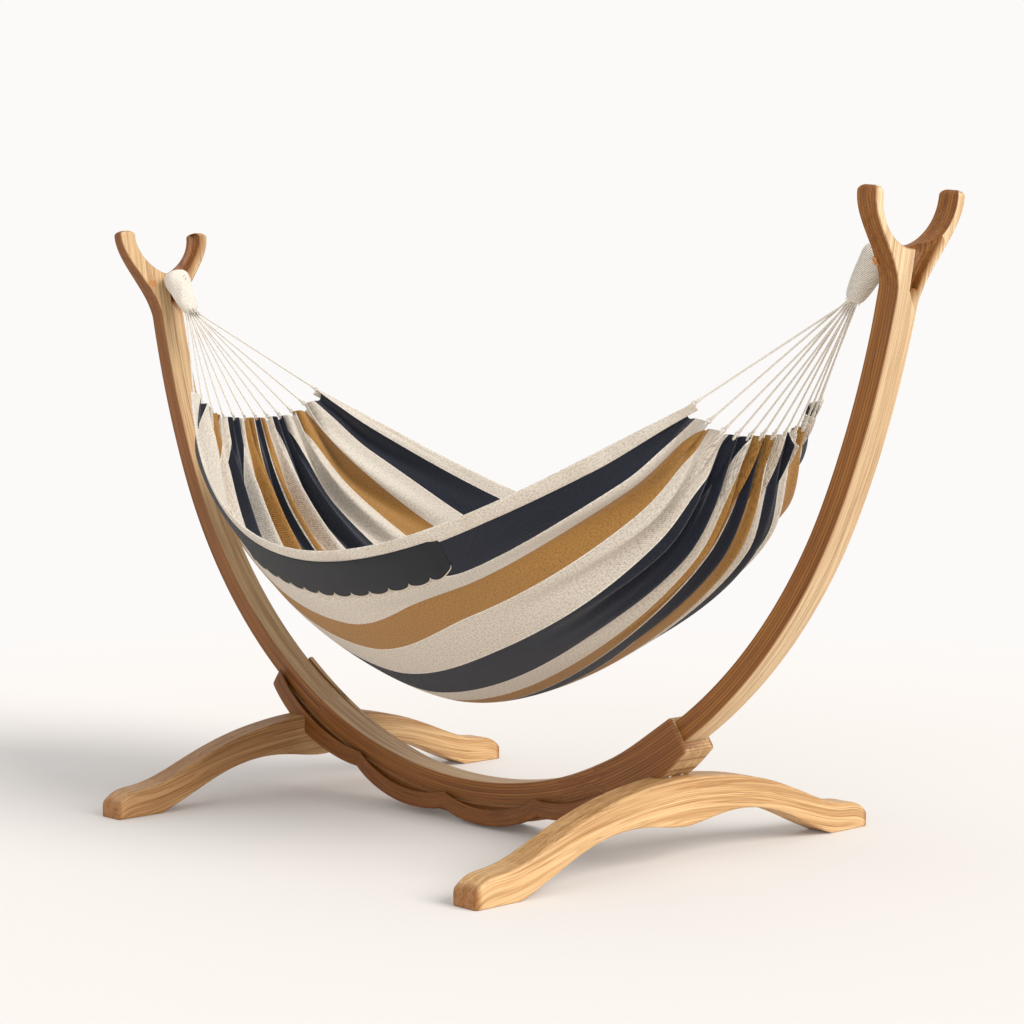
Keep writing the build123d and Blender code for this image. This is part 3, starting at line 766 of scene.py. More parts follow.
@dataclass
class Arm:
    """One half of an arm, from the base up to the tip of its prong."""

    side: Side
    rear: bool
    start_height: float = 0.2245
    crotch: float = 1.410            # height of the bottom of the fork's gap
    tip: float = 1.534
    fork_half: float = 0.151         # half the breadth of the fork at its tips
    round_height: float = 0.014      # height of the rounded end of a prong
    flare_from: float = 1.285        # height where the outer edge starts to swing out
    slim_lift: float = 0.030         # how much higher it starts on the slimmest half
    fan_from: float = 1.215          # height where the sections start to tilt
    fan_to: float = 1.318            # height of the outer edge beside the bottom of the gap
    groove: tuple[float, float] = (1.318, 1.408)   # the joint's edges grow rounder between them
    scoop_from: float = 1.322        # height where the hollow beside the joint starts
    scoop_run: float = 0.052         # height over which it reaches its full depth
    scoop_stretch: float = 1.3       # how much deeper it is than broad
    strip: float = 0.029             # breadth of wood left beside it
    tip_dome: float = 0.014          # how far the tip is rounded over in depth
    grain_lift: float = 1 * MM       # moves the outer face off the middle of a glue line

    @property
    def prong(self) -> float:
        """Breadth of a prong: the left fork's are broad and flat, the right fork's narrow and deep."""
        return 0.050 if self.side is Side.LEFT else 0.026

    @property
    def gap_power(self) -> float:
        """1 is an elliptical gap, more is nearer a V."""
        return 1.35 if self.side is Side.LEFT else 1.0

    @property
    def thinning(self) -> float:
        """How much a prong loses from its outer face by its tip."""
        return 0.018 if self.side is Side.LEFT else 0.002

    @property
    def gap(self) -> float:
        """Half the gap between the prongs' tips."""
        return self.fork_half - self.prong

    @property
    def shoulder(self) -> float:
        """Height where a prong's rounded end begins."""
        return self.tip - self.round_height

    def outer_y(self, height: np.ndarray) -> np.ndarray:
        """Outer edge of the fork, seen along X: a smooth ramp from the beam's side to the tip.

        Args:
            height: Heights on the edge.

        Returns:
            Distances from the middle plane.
        """
        flare = self.fork_half - ARC.half_width
        slim = self.side is Side.RIGHT and not self.rear
        start = self.flare_from + (self.slim_lift if slim else 0.0)
        return ARC.half_width + flare * smooth(height, start, self.shoulder)

    def edges(self) -> tuple[np.ndarray, ...]:
        """The inner and the outer edge of the half, seen along X, station by station.

        Both run straight up, then fan apart until the outer one is beside the bottom of the gap.
        The inner one then follows a quarter of an ellipse, and both end in the prong's half round.

        Returns:
            Inner y, inner z, outer y, outer z and how far into the fork each station is.
        """
        straight = np.linspace(self.start_height, self.fan_from, 120, endpoint=False)
        fan = np.linspace(0, 1, 40, endpoint=False)
        swing = np.linspace(0, math.pi / 2, 60, endpoint=False)
        round_end = np.linspace(0, math.radians(86), 16)
        half = self.prong / 2
        middle = self.gap + half
        fan_inner = self.fan_from + (self.crotch - self.fan_from) * fan
        fan_outer = self.fan_from + (self.fan_to - self.fan_from) * fan
        share = (swing / (math.pi / 2)) ** 0.92
        swing_outer = self.fan_to + (self.shoulder - self.fan_to) * share
        swing_inner = self.shoulder - (self.shoulder - self.crotch) * np.cos(swing)
        rounded = self.shoulder + self.round_height * np.sin(round_end)
        inner_y = np.concatenate([0 * straight, 0 * fan, self.gap * np.sin(swing) ** self.gap_power,
                                  middle - half * np.cos(round_end)])
        inner_z = np.concatenate([straight, fan_inner, swing_inner, rounded])
        outer_y = np.concatenate([self.outer_y(straight), self.outer_y(fan_outer), self.outer_y(swing_outer),
                                  middle + half * np.cos(round_end)])
        outer_z = np.concatenate([straight, fan_outer, swing_outer, rounded])
        into = np.concatenate([0 * straight, 0 * fan, swing / (math.pi / 2), 1 + 0 * round_end])
        return inner_y, inner_z, outer_y, outer_z, into

    def build(self) -> bpy.types.Object:
        """Rounded sections stand between the two edges, and each follows the stand's curve in depth.

        Returns:
            The new object.
        """
        inner_y, inner_z, outer_y, outer_z, into = self.edges()
        breadth = np.hypot(outer_y - inner_y, outer_z - inner_z)
        plain_joint = 1.0 * MM + 5 * MM * smooth(inner_z, *self.groove) - 3 * MM * smooth(into, 0.1, 0.5)
        scoop_share = np.clip((inner_z - self.scoop_from) / self.scoop_run, 0, 1)
        scoop = -np.maximum(breadth - self.strip, 0) * scoop_share
        scooped = (scoop < -0.5 * MM) & self.rear
        seen_joint = np.where(scooped, scoop, 1.5 * MM if self.rear else plain_joint)
        outside = 4.0 * MM + 1.0 * MM * smooth(outer_z, 1.25, 1.45)
        # the hollow is in the outer face of the right arm and in the hook's face of the left arm
        joints = [plain_joint, seen_joint] if self.side is Side.LEFT else [seen_joint, plain_joint]
        radii = np.stack([outside, outside, *joints], -1)
        past_shoulder = np.clip((inner_z + outer_z) / 2 - self.shoulder, 0, None)
        dome = self.tip_dome * (1 - np.sqrt(np.clip(1 - past_shoulder**2 / self.round_height**2, 0, 1)))
        section = rounded_box(self.thinning * smooth(into, -0.3, 1) + dome, ARC.depth - dome, 0 * breadth,
                              breadth, radii, hollow_a=self.scoop_stretch)
        inset, run = section[..., 0], section[..., 1]
        share = run / breadth[:, None]
        y = inner_y[:, None] + share * (outer_y - inner_y)[:, None]
        height = inner_z[:, None] + share * (outer_z - inner_z)[:, None]
        x, z, length = ARC.at_height(height, inset)
        sign = 1 if self.rear else -1
        points = np.stack([x * self.side.value, y * sign, z], -1)
        seed = 0.7 if self.rear else 0.0
        pattern = np.stack([length + seed, inset + self.grain_lift, y + 0.4 * sign], -1)
        name = f"{self.side.word}_arm_{'rear' if self.rear else 'front'}"
        # painted shade on the faces turned along Y
        side = np.tile(painted_shade_share(), (len(breadth), 1))
        corner = 3 if self.side is Side.LEFT else 2
        per_corner = side.shape[1] // 4
        # painted shade filling the hollow beside the joint
        side[scooped, corner * per_corner:(corner + 1) * per_corner] = 1.0
        shell = Shell(name + "_wood")
        shell.grid(points, pattern, ring=True, caps=True, side=side)
        return shell.build(OAK if self.side is Side.LEFT else PALE_OAK, Body.STAND, [name])


@dataclass
class Base:
    """The rail between the arms, its keel, the scalloped aprons, the cheek and the socket."""

    joint: float = 27.0              # degrees from the middle to the rail's ends
    keel_end: float = -35.0          # degrees
    cheek_end: float = -6.0          # degrees
    socket_start: float = 22.0       # degrees, where the keel and the aprons run into the socket
    swell_from: float = 14.0         # degrees, where the socket starts
    mouth: float = 35.0              # degrees
    keel_depth: float = 0.040
    thickness: float = 0.024         # of an apron, out from the rail
    end_inset: float = 0.028         # of an apron's edges at its left end
    pitch: float = 0.340             # from one cusp to the next, along X
    first_cusp: float = -0.405       # X of the first cusp
    cusp_inset: float = 0.013        # of the upper edge at a cusp
    lobe_inset: float = -0.011       # of the upper edge in the middle of a lobe
    height: float = 0.043            # of an apron
    grain_lift: float = 1 * MM       # moves the outer face off the middle of a glue line

    def swept(self, name: str, angles: np.ndarray, low: Any, high: Any, y_low: Any, y_high: Any,
              radii: Any, seed: float = 0.0) -> bpy.types.Object:
        """Rounded section carried along the lower arc.

        Args:
            name: The frame's node that it stands for.
            angles: Stations in degrees.
            low: Inset of its outer side, for each station.
            high: Inset of its inner side.
            y_low: Its near side across the stand.
            y_high: Its far side.
            radii: Corner radii.
            seed: Moves the grain.

        Returns:
            The new object.
        """
        section = rounded_box(low + 0 * angles, high + 0 * angles, y_low + 0 * angles, y_high + 0 * angles,
                              radii)
        inset, y = section[..., 0], section[..., 1]
        x, z = ARC.low(angles[:, None], inset)
        length = np.radians(angles)[:, None] * ARC.radius + 0 * inset
        shell = Shell(name + "_wood")
        pattern = np.stack([length + seed, inset + self.grain_lift, y + seed], -1)
        # painted shade on the faces turned along Y
        shell.grid(np.stack([x, y, z], -1), pattern, ring=True, caps=True, side=painted_shade_share()[None])
        return shell.build(OAK, Body.STAND, [name])

    def gutter(self, low: np.ndarray, high: np.ndarray) -> tuple[np.ndarray, np.ndarray]:
        """Section of an apron: solid below, with a cove between its upper lip and the rail.

        The corners are given as shares of its thickness and height, and each pass of corner
        cutting puts two points a quarter and three quarters along every side.

        Args:
            low: Inset of the lower edge, for each station.
            high: Inset of the upper edge.

        Returns:
            Insets and distances out from the rail's side, (stations, points).
        """
        outline = np.array([(-0.02, 0.0), (0.80, 0.0), (0.99, 0.10), (1.0, 0.45), (0.93, 0.72), (0.97, 0.93),
                            (0.90, 1.0), (0.66, 1.0), (0.56, 0.90), (0.42, 0.52), (0.22, 0.36), (0.03, 0.34),
                            (-0.02, 0.30)])
        for _ in range(3):
            after = np.roll(outline, -1, 0)
            cuts = [0.75 * outline + 0.25 * after, 0.25 * outline + 0.75 * after]
            outline = np.stack(cuts, 1).reshape(-1, 2)
        inset = low[:, None] + (high - low)[:, None] * outline[None, :, 1]
        return inset, self.thickness * outline[None, :, 0] + 0 * inset

    def apron(self, front: bool) -> bpy.types.Object:
        """Ribbon whose two edges swing out in lobes and meet in cusps: a parabola for each lobe.

        Args:
            front: Whether it is the front one.

        Returns:
            The new object.
        """
        cusps = np.degrees(np.arcsin((self.first_cusp + self.pitch * np.arange(3)) / ARC.radius))
        ends = np.concatenate([[self.keel_end], cusps, [self.socket_start]])
        low_lobe = self.lobe_inset - self.height
        upper_ends = np.array([self.end_inset] + [self.cusp_inset] * 3 + [self.lobe_inset + 2 * MM])
        upper_mid = np.array([0.0, self.lobe_inset, self.lobe_inset, self.lobe_inset + 2 * MM])
        lower_ends = np.array([-self.end_inset] + [self.cusp_inset - self.height] * 3 + [-self.keel_depth])
        lower_mid = np.array([low_lobe + 4 * MM] + [low_lobe] * 2 + [low_lobe + 4 * MM])
        share = np.linspace(0, 1, 48, endpoint=False)
        hump = 4 * share * (1 - share)
        angles, upper, lower = [], [], []
        for i in range(4):
            angles.append(ends[i] + (ends[i + 1] - ends[i]) * share)
            for made, edge, mid in ((upper, upper_ends, upper_mid), (lower, lower_ends, lower_mid)):
                chord = edge[i] + (edge[i + 1] - edge[i]) * share
                made.append(chord + (mid[i] - (edge[i] + edge[i + 1]) / 2) * hump)
        stations = np.concatenate(angles + [[self.socket_start]])
        high = np.concatenate(upper + [upper_ends[-1:]])
        low = np.concatenate(lower + [lower_ends[-1:]])
        inset, out = self.gutter(low, high)
        fullness = np.concatenate([hump**0.6] * 4 + [[0.0]])
        out = out * (0.66 + 0.34 * fullness)[:, None]
        x, z = ARC.low(stations[:, None], inset)
        sign = -1 if front else 1
        y = (ARC.half_width + out) * sign
        length = np.radians(stations)[:, None] * ARC.radius + 0 * inset
        lift = inset - (low + high)[:, None] / 2 + 0.1
        pattern = np.stack([length + 0.3 * sign, lift, out + 0.5], -1)
        name = "front_apron" if front else "rear_apron"
        shell = Shell(name + "_wood")
        # painted shade over the whole apron
        shell.grid(np.stack([x, y, z], -1), pattern, ring=True, caps=True, side=1.0)
        return shell.build(APRON_OAK, Body.STAND, [name], sharp=70.0)

    def build(self) -> None:
        """Build every piece of the base."""
        half = ARC.half_width
        soft = 3.5 * MM
        rail = np.linspace(-self.joint, self.joint, 150)
        self.swept("base_rail", rail, 0.0, ARC.depth, -half, half, soft, seed=2.0)
        keel = np.linspace(self.keel_end, self.socket_start, 120)
        self.swept("keel_strip", keel, -self.keel_depth, -0.15 * MM, -half + 0.15 * MM, half - 0.15 * MM,
                   soft, seed=2.6)
        self.apron(front=True)
        self.apron(front=False)
        cheek = np.linspace(self.keel_end, self.cheek_end, 60)
        rise = smooth(cheek, -14.0, self.keel_end)
        fade = smooth(cheek, self.cheek_end, -16.0)
        self.swept("left_cheek", cheek, 0.020 + 0.0085 * rise, 0.052 + 0.009 * rise,
                   half - 1 * MM, half + 2 * MM + 11 * MM * fade, soft, seed=3.3)
        self.socket()

    def socket(self) -> bpy.types.Object:
        """Swelling of the base round the foot of the right arm, rounded over at its mouth.

        Returns:
            The new object.
        """
        rounding = 0.35
        angles = np.concatenate([np.linspace(self.swell_from, self.mouth - rounding, 90),
                                 self.mouth - rounding * (1 - np.sin(np.linspace(0.15, math.pi / 2, 8)))])
        swell = smooth(angles, self.swell_from, 24.5)
        end = 4.5 * MM * (1 - np.sqrt(np.clip(1 - smooth(angles, self.mouth - 0.4, self.mouth) ** 2, 0, 1)))
        half = ARC.half_width + 0.4 * MM + 13.6 * MM * swell - end
        cut_up = 17 * MM * smooth(angles, 30.5, 36.0)
        low = -self.keel_depth - 0.5 * MM + cut_up + 0.6 * MM * (1 - swell) + end
        high = ARC.depth + 0.5 * MM + 3.0 * MM * swell + 8.5 * MM * smooth(angles, 24.0, 33.0) - end
        return self.swept("right_socket", angles, low, high, -half, half, 7 * MM, seed=2.0)


@dataclass
class Foot:
    """One arched cross foot."""

    side: Side
    half_length: float = 0.660
    half_width: float = 0.040
    pad_from: float = 0.525          # where the underside comes down to the floor
    round_from: float = 0.652        # where the end is rounded over
    # each point is its distance from the middle and its height, in millimetres
    top_line: tuple[tuple[float, float], ...] = (
        (0, 205), (130, 196), (265, 171), (395, 128), (498, 88), (575, 70), (618, 64), (646, 50), (660, 38))
    under_line: tuple[tuple[float, float], ...] = (
        (0, 91), (90, 101), (180, 108), (264, 99), (352, 73), (440, 35), (525, 0))

    @property
    def middle_x(self) -> float:
        """Where the middle of the foot stands."""
        return -0.664 if self.side is Side.LEFT else 0.694

    def build(self) -> bpy.types.Object:
        """Rounded sections across X between two splines, one for the top and one for the underside.

        Returns:
            The new object.
        """
        y = self.half_length * np.sin(np.linspace(-math.pi / 2, math.pi / 2, 241))
        away = np.abs(y)
        top_at, top_z = (np.array(v) * MM for v in zip(*self.top_line))
        under_at, under_z = (np.array(v) * MM for v in zip(*self.under_line))
        top_at, top_z = np.r_[-top_at[:0:-1], top_at], np.r_[top_z[:0:-1], top_z]
        under_at, under_z = np.r_[-under_at[:0:-1], under_at], np.r_[under_z[:0:-1], under_z]
        top = natural_spline(top_at, top_z, y)
        under = np.where(away < self.pad_from, natural_spline(under_at, under_z, y), 0.0)
        under = np.maximum(under, 0.0)
        end = 4 * MM * (1 - np.sqrt(np.clip(1 - smooth(away, self.round_from, self.half_length) ** 2, 0, 1)))
        half = self.half_width - end
        radii = np.array([9.0, 9.0, 4.0, 4.0]) * MM
        section = rounded_box(-half, half, under, top - end, radii)
        x, z = section[..., 0], section[..., 1]
        along = y[:, None] + 0 * x
        points = np.stack([self.middle_x + x, along, z], -1)
        layer = z - 0.75 * top[:, None] + 0.2
        pattern = np.stack([along + 5.0 * self.side.value, layer, x + 0.9 * self.side.value], -1)
        name = f"{self.side.word}_foot"
        shell = Shell(name + "_wood")
        # painted shade on the rounded ends, and on the left foot a painted shadow over its half at -Y
        painted_foot_shade = 0.8 * smooth(away, 0.640, 0.658)
        if self.side is Side.LEFT:
            painted_foot_shade = np.maximum(painted_foot_shade, 0.45 * smooth(-y, 0.02, 0.12))
        shell.grid(points, pattern, ring=True, caps=True, side=painted_foot_shade[:, None])
        return shell.build(FOOT_OAK, Body.STAND, [name])



# ------------------------------------------------------------------ the bed
@dataclass
class Bed:
    """The striped cloth with its hems and scalloped borders."""

    shift: float = 0.020                               # of the bed's middle along X
    half_length: float = 0.923
    end_bulge: float = 0.029                           # of the ends, beyond their corners
    rim_half_width: float = 0.5594                     # in the middle of the bed
    narrowing: tuple[float, float] = (0.3548, 0.012)   # of the rims towards the ends
    rim_z: float = 0.7228                              # height of the rims in the middle
    rim_rise: tuple[float, float] = (0.4196, 0.063)
    keel_z: float = 0.3075                             # height of the lowest point
    keel_rise: tuple[float, float] = (0.540, 0.155)
    section_powers: tuple[float, float] = (1.92, 1.76)
    tips: int = 12                                     # tied points at each end
    thickness: float = 2.4 * MM
    trim_thickness: float = 1.6 * MM
    flat: tuple[float, float] = (1.443, 2.147)         # width and length of the cloth, laid out
    border_reach: float = 0.42                         # share of the half length
    lobes: int = 13
    border_from: float = 0.972                         # share of the half width
    border_cusp: float = 0.872
    lobe_depth: float = 0.0152                         # of a lobe beyond its cusps
    hem_half: float = 0.0185                           # half the breadth of a hem
    fold_depth: float = 0.0230                         # of the folds between the tied points
    end_swing: float = 0.044                           # of the free edge between them
    drawn_aside: float = 0.046                         # share of the width, for the front right stripes
    rows: int = 300
    columns: int = 265

    def plain(self, s: np.ndarray, t: np.ndarray) -> np.ndarray:
        """The smooth hanging surface: rims are even polynomials, sections are powers of |t|.

        Args:
            s: Places along the bed, from -1 at the left end to 1 at the right end.
            t: Places across it, from -1 at the front rim to 1 at the rear rim.

        Returns:
            Points, (..., 3).
        """
        half_width = self.rim_half_width - self.narrowing[0] * s**2 + self.narrowing[1] * s**4
        rim_z = self.rim_z + self.rim_rise[0] * s**2 - self.rim_rise[1] * s**4
        keel_z = self.keel_z + self.keel_rise[0] * np.abs(s) ** 1.75 + self.keel_rise[1] * np.abs(s) ** 12
        power = self.section_powers[0] + self.section_powers[1] * s**2
        x = (self.half_length + self.end_bulge * (1 - t**2) * s**4) * s + self.shift
        return np.stack([x, half_width * t, rim_z - (rim_z - keel_z) * (1 - np.abs(t) ** power)], -1)

    def normal(self, s: np.ndarray, t: np.ndarray) -> np.ndarray:
        """Unit vectors out of the bed's underside, from the plain surface's two slopes.

        Args:
            s: Places along the bed.
            t: Places across it.

        Returns:
            Vectors, (..., 3).
        """
        step = 1e-4
        along = self.plain(s + step, t) - self.plain(s - step, t)
        over = self.plain(s, t + step) - self.plain(s, t - step)
        return unit(np.cross(over, along))

    def point(self, s: np.ndarray, t: np.ndarray) -> np.ndarray:
        """The hanging surface with its folds.

        Folds run in from each tied point as a cosine across the cloth that fades along it, longer
        folds of a few sines pull from end to end, and the free edge swings in between the points.

        Args:
            s: Places along the bed.
            t: Places across it.

        Returns:
            Points, (..., 3).
        """
        place = self.plain(s, t)
        out = self.normal(s, t)
        end = np.abs(s)
        side = np.sign(s)
        turn = math.pi * (self.tips - 1) * (t + 1)
        wander = 0.5 * np.sin(2.3 * t + 1.7 * side) + 0.35 * np.sin(5.1 * t + 0.6 + side)
        gather = smooth(end, 0.36, 0.96) ** 1.4
        swing = np.abs(np.sin(turn / 2)) ** 0.9
        fold = self.fold_depth * gather * np.cos(turn + 0.5 * wander * (1 - smooth(end, 0.85, 1.0)))
        fold = fold * (1 - (1 - swing) * smooth(end, 0.88, 1.0))
        half_fold = 0.0075 * gather * np.cos(2 * turn + 1.1 + wander) * (1 - smooth(end, 0.93, 1.0))
        long_pull = 0.0032 * smooth(end, 0.15, 0.8) * np.sin(turn * 0.55 + 3.0 * side * s + 2.2 * wander)
        body = 0.0030 * np.sin(4.2 * s + 1.9 * t) * np.sin(5.5 * t - 1.3 * s + 0.8) * (1 - end**2)
        quiet = smooth(1 - np.abs(t), 0.0, 0.05)
        place = place - out * ((fold + half_fold + long_pull + body) * quiet)[..., None]
        place[..., 0] -= side * (self.end_swing * swing - 0.006) * smooth(end, 0.84, 1.0)
        return place

    def arcs(self, s: np.ndarray, t: np.ndarray) -> np.ndarray:
        """Share of the way across the cloth, from the front rim, measured along its curve.

        Args:
            s: A grid of places along the bed.
            t: The same grid's places across it.

        Returns:
            Shares from 0 to 1, of the same shape.
        """
        place = self.plain(s, t)
        step = np.linalg.norm(np.diff(place, axis=1), axis=-1)
        run = np.concatenate([np.zeros((len(place), 1)), np.cumsum(step, 1)], 1)
        return run / run[:, -1:]

    @staticmethod
    def thicken(made: bpy.types.Object, thickness: float) -> None:
        """Give a sheet its thickness, half on either side.

        Args:
            made: The sheet.
            thickness: How thick it becomes.
        """
        solid = made.modifiers.new("thickness", "SOLIDIFY")
        solid.thickness = thickness
        solid.offset = 0.0

    def drawn(self, s: np.ndarray, share: np.ndarray) -> np.ndarray:
        """Where each place's stripe is taken from, as the stripes run a little unevenly.

        They lie nearer the rim under the borders, nearer the middle beside them, and are drawn
        towards the front rim on the front right. Each move is a bell or a ramp that fades out along
        and across the cloth.

        Args:
            s: Places along the bed.
            share: Shares of the way across the cloth, from the front rim.

        Returns:
            The shares that the stripes are read at.
        """
        mirrored = np.minimum(share, 1 - share)
        under_border = smooth(self.border_reach - np.abs(s), -0.02, 0.14)
        beside_border = smooth(np.abs(s), 0.30, 0.46) * smooth(0.82 - np.abs(s), 0.0, 0.34)
        pulled = self.drawn_aside * smooth(s, -0.02, 0.40) * (share < 0.5)
        moved = mirrored + 0.011 * under_border * np.exp(-(((mirrored - 0.088) / 0.022) ** 2))
        moved = moved - 0.012 * beside_border * np.exp(-(((mirrored - 0.105) / 0.026) ** 2))
        moved = moved + pulled * smooth(mirrored, 0.100, 0.135) * (1 - smooth(mirrored, 0.12, 0.40))
        return np.where(share < 0.5, moved, 1 - moved)

    def cloth(self) -> bpy.types.Object:
        """The striped sheet, from rim to rim, with its rows closer together towards the ends.

        Returns:
            The new object.
        """
        crowding = math.radians(80)
        s = np.sin(np.linspace(-1, 1, self.rows) * crowding) / math.sin(crowding)
        t = np.linspace(-1, 1, self.columns)
        s, t = np.meshgrid(s, t, indexing="ij")
        share = self.drawn(s, self.arcs(s, t))
        pattern = np.stack([s * self.flat[1] / 2, share * self.flat[0], 0 * s], -1)
        shell = Shell("striped_cloth_sheet")
        shell.grid(self.point(s, t), pattern)
        made = shell.build(STRIPED, Body.HAMMOCK, ["bed_cloth"], outward=False)
        made.data.flip_normals()
        self.thicken(made, self.thickness)
        return made

    def hem(self, rear: bool) -> bpy.types.Object:
        """Flat rolled hem: a flattened ring carried along the rim, laid against the cloth.

        Args:
            rear: Whether it is the rear one.

        Returns:
            The new object.
        """
        sign = 1.0 if rear else -1.0
        s = np.linspace(-1.0, 1.0, 240)
        edge = self.point(s, sign + 0 * s)
        inner = self.plain(s, sign * 0.985 + 0 * s)
        down = unit(inner - self.plain(s, sign + 0 * s))
        out = self.normal(s, sign * 0.99 + 0 * s)
        width = self.hem_half * (1 - 0.45 * smooth(np.abs(s), 0.8, 1.0))
        angle = np.linspace(0, TURN, 28, endpoint=False)
        across = np.sign(np.cos(angle)) * np.abs(np.cos(angle)) ** 0.8
        through = np.sign(np.sin(angle)) * np.abs(np.sin(angle)) ** 0.7
        bulge = 3.6 * MM + 1.2 * MM * np.cos(angle + math.pi)
        centre = edge + down * (width - 2 * MM)[:, None]
        points = (centre[:, None] + down[:, None] * (width[:, None] * across)[..., None]
                  + out[:, None] * (bulge * through)[None, :, None])
        run = np.concatenate([[0], np.cumsum(np.linalg.norm(np.diff(edge, axis=0), axis=1))])
        name = "rear_hem" if rear else "front_hem"
        shell = Shell(name + "_cloth")
        shell.grid(points, ring_pattern(run, 0.02 * across), ring=True, caps=True)
        return shell.build(CREAM_CLOTH, Body.HAMMOCK, [name])

    def border(self, rear: bool) -> bpy.types.Object:
        """Navy border outside the cloth, its lower edge a row of half circles between cusps.

        Args:
            rear: Whether it is the rear one.

        Returns:
            The new object.
        """
        sign = 1.0 if rear else -1.0
        per_lobe = 18
        s = np.linspace(-self.border_reach, self.border_reach, self.lobes * per_lobe + 1)
        phase = (np.arange(len(s)) % per_lobe) / per_lobe
        lobe = np.sqrt(np.clip(1 - (2 * phase - 1) ** 2, 0, 1))
        fade = smooth(self.border_reach - np.abs(s), 0.0, 0.05)
        low = self.border_cusp + 0.012 * (1 - fade) - self.lobe_depth * lobe - 0.002 * fade
        share = np.concatenate([np.linspace(0, 0.94, 22), [0.965, 0.966, 0.985, 1.0]])
        t = self.border_from + (low[:, None] - self.border_from) * share
        s_grid = s[:, None] + 0 * t
        lift = 1.9 * MM + 3.7 * MM * fade[:, None] * (share[None] + 0.2)
        points = self.point(s_grid, sign * t) + self.normal(s_grid, sign * t) * lift[..., None]
        edge = (share > 0.9655)[None, :] + 0 * t
        pattern = np.stack([s_grid * self.flat[1] / 2, (1 - t) * self.flat[0], edge], -1)
        name = "rear_valance" if rear else "front_valance"
        shell = Shell(name + "_cloth")
        shell.grid(points, pattern)
        made = shell.build(NAVY_CLOTH, Body.HAMMOCK, [name], outward=False)
        if rear:
            made.data.flip_normals()
        self.thicken(made, self.trim_thickness)
        return made

    def build(self) -> None:
        cloth = self.cloth()
        trims = [make(rear) for make in (self.hem, self.border) for rear in (False, True)]


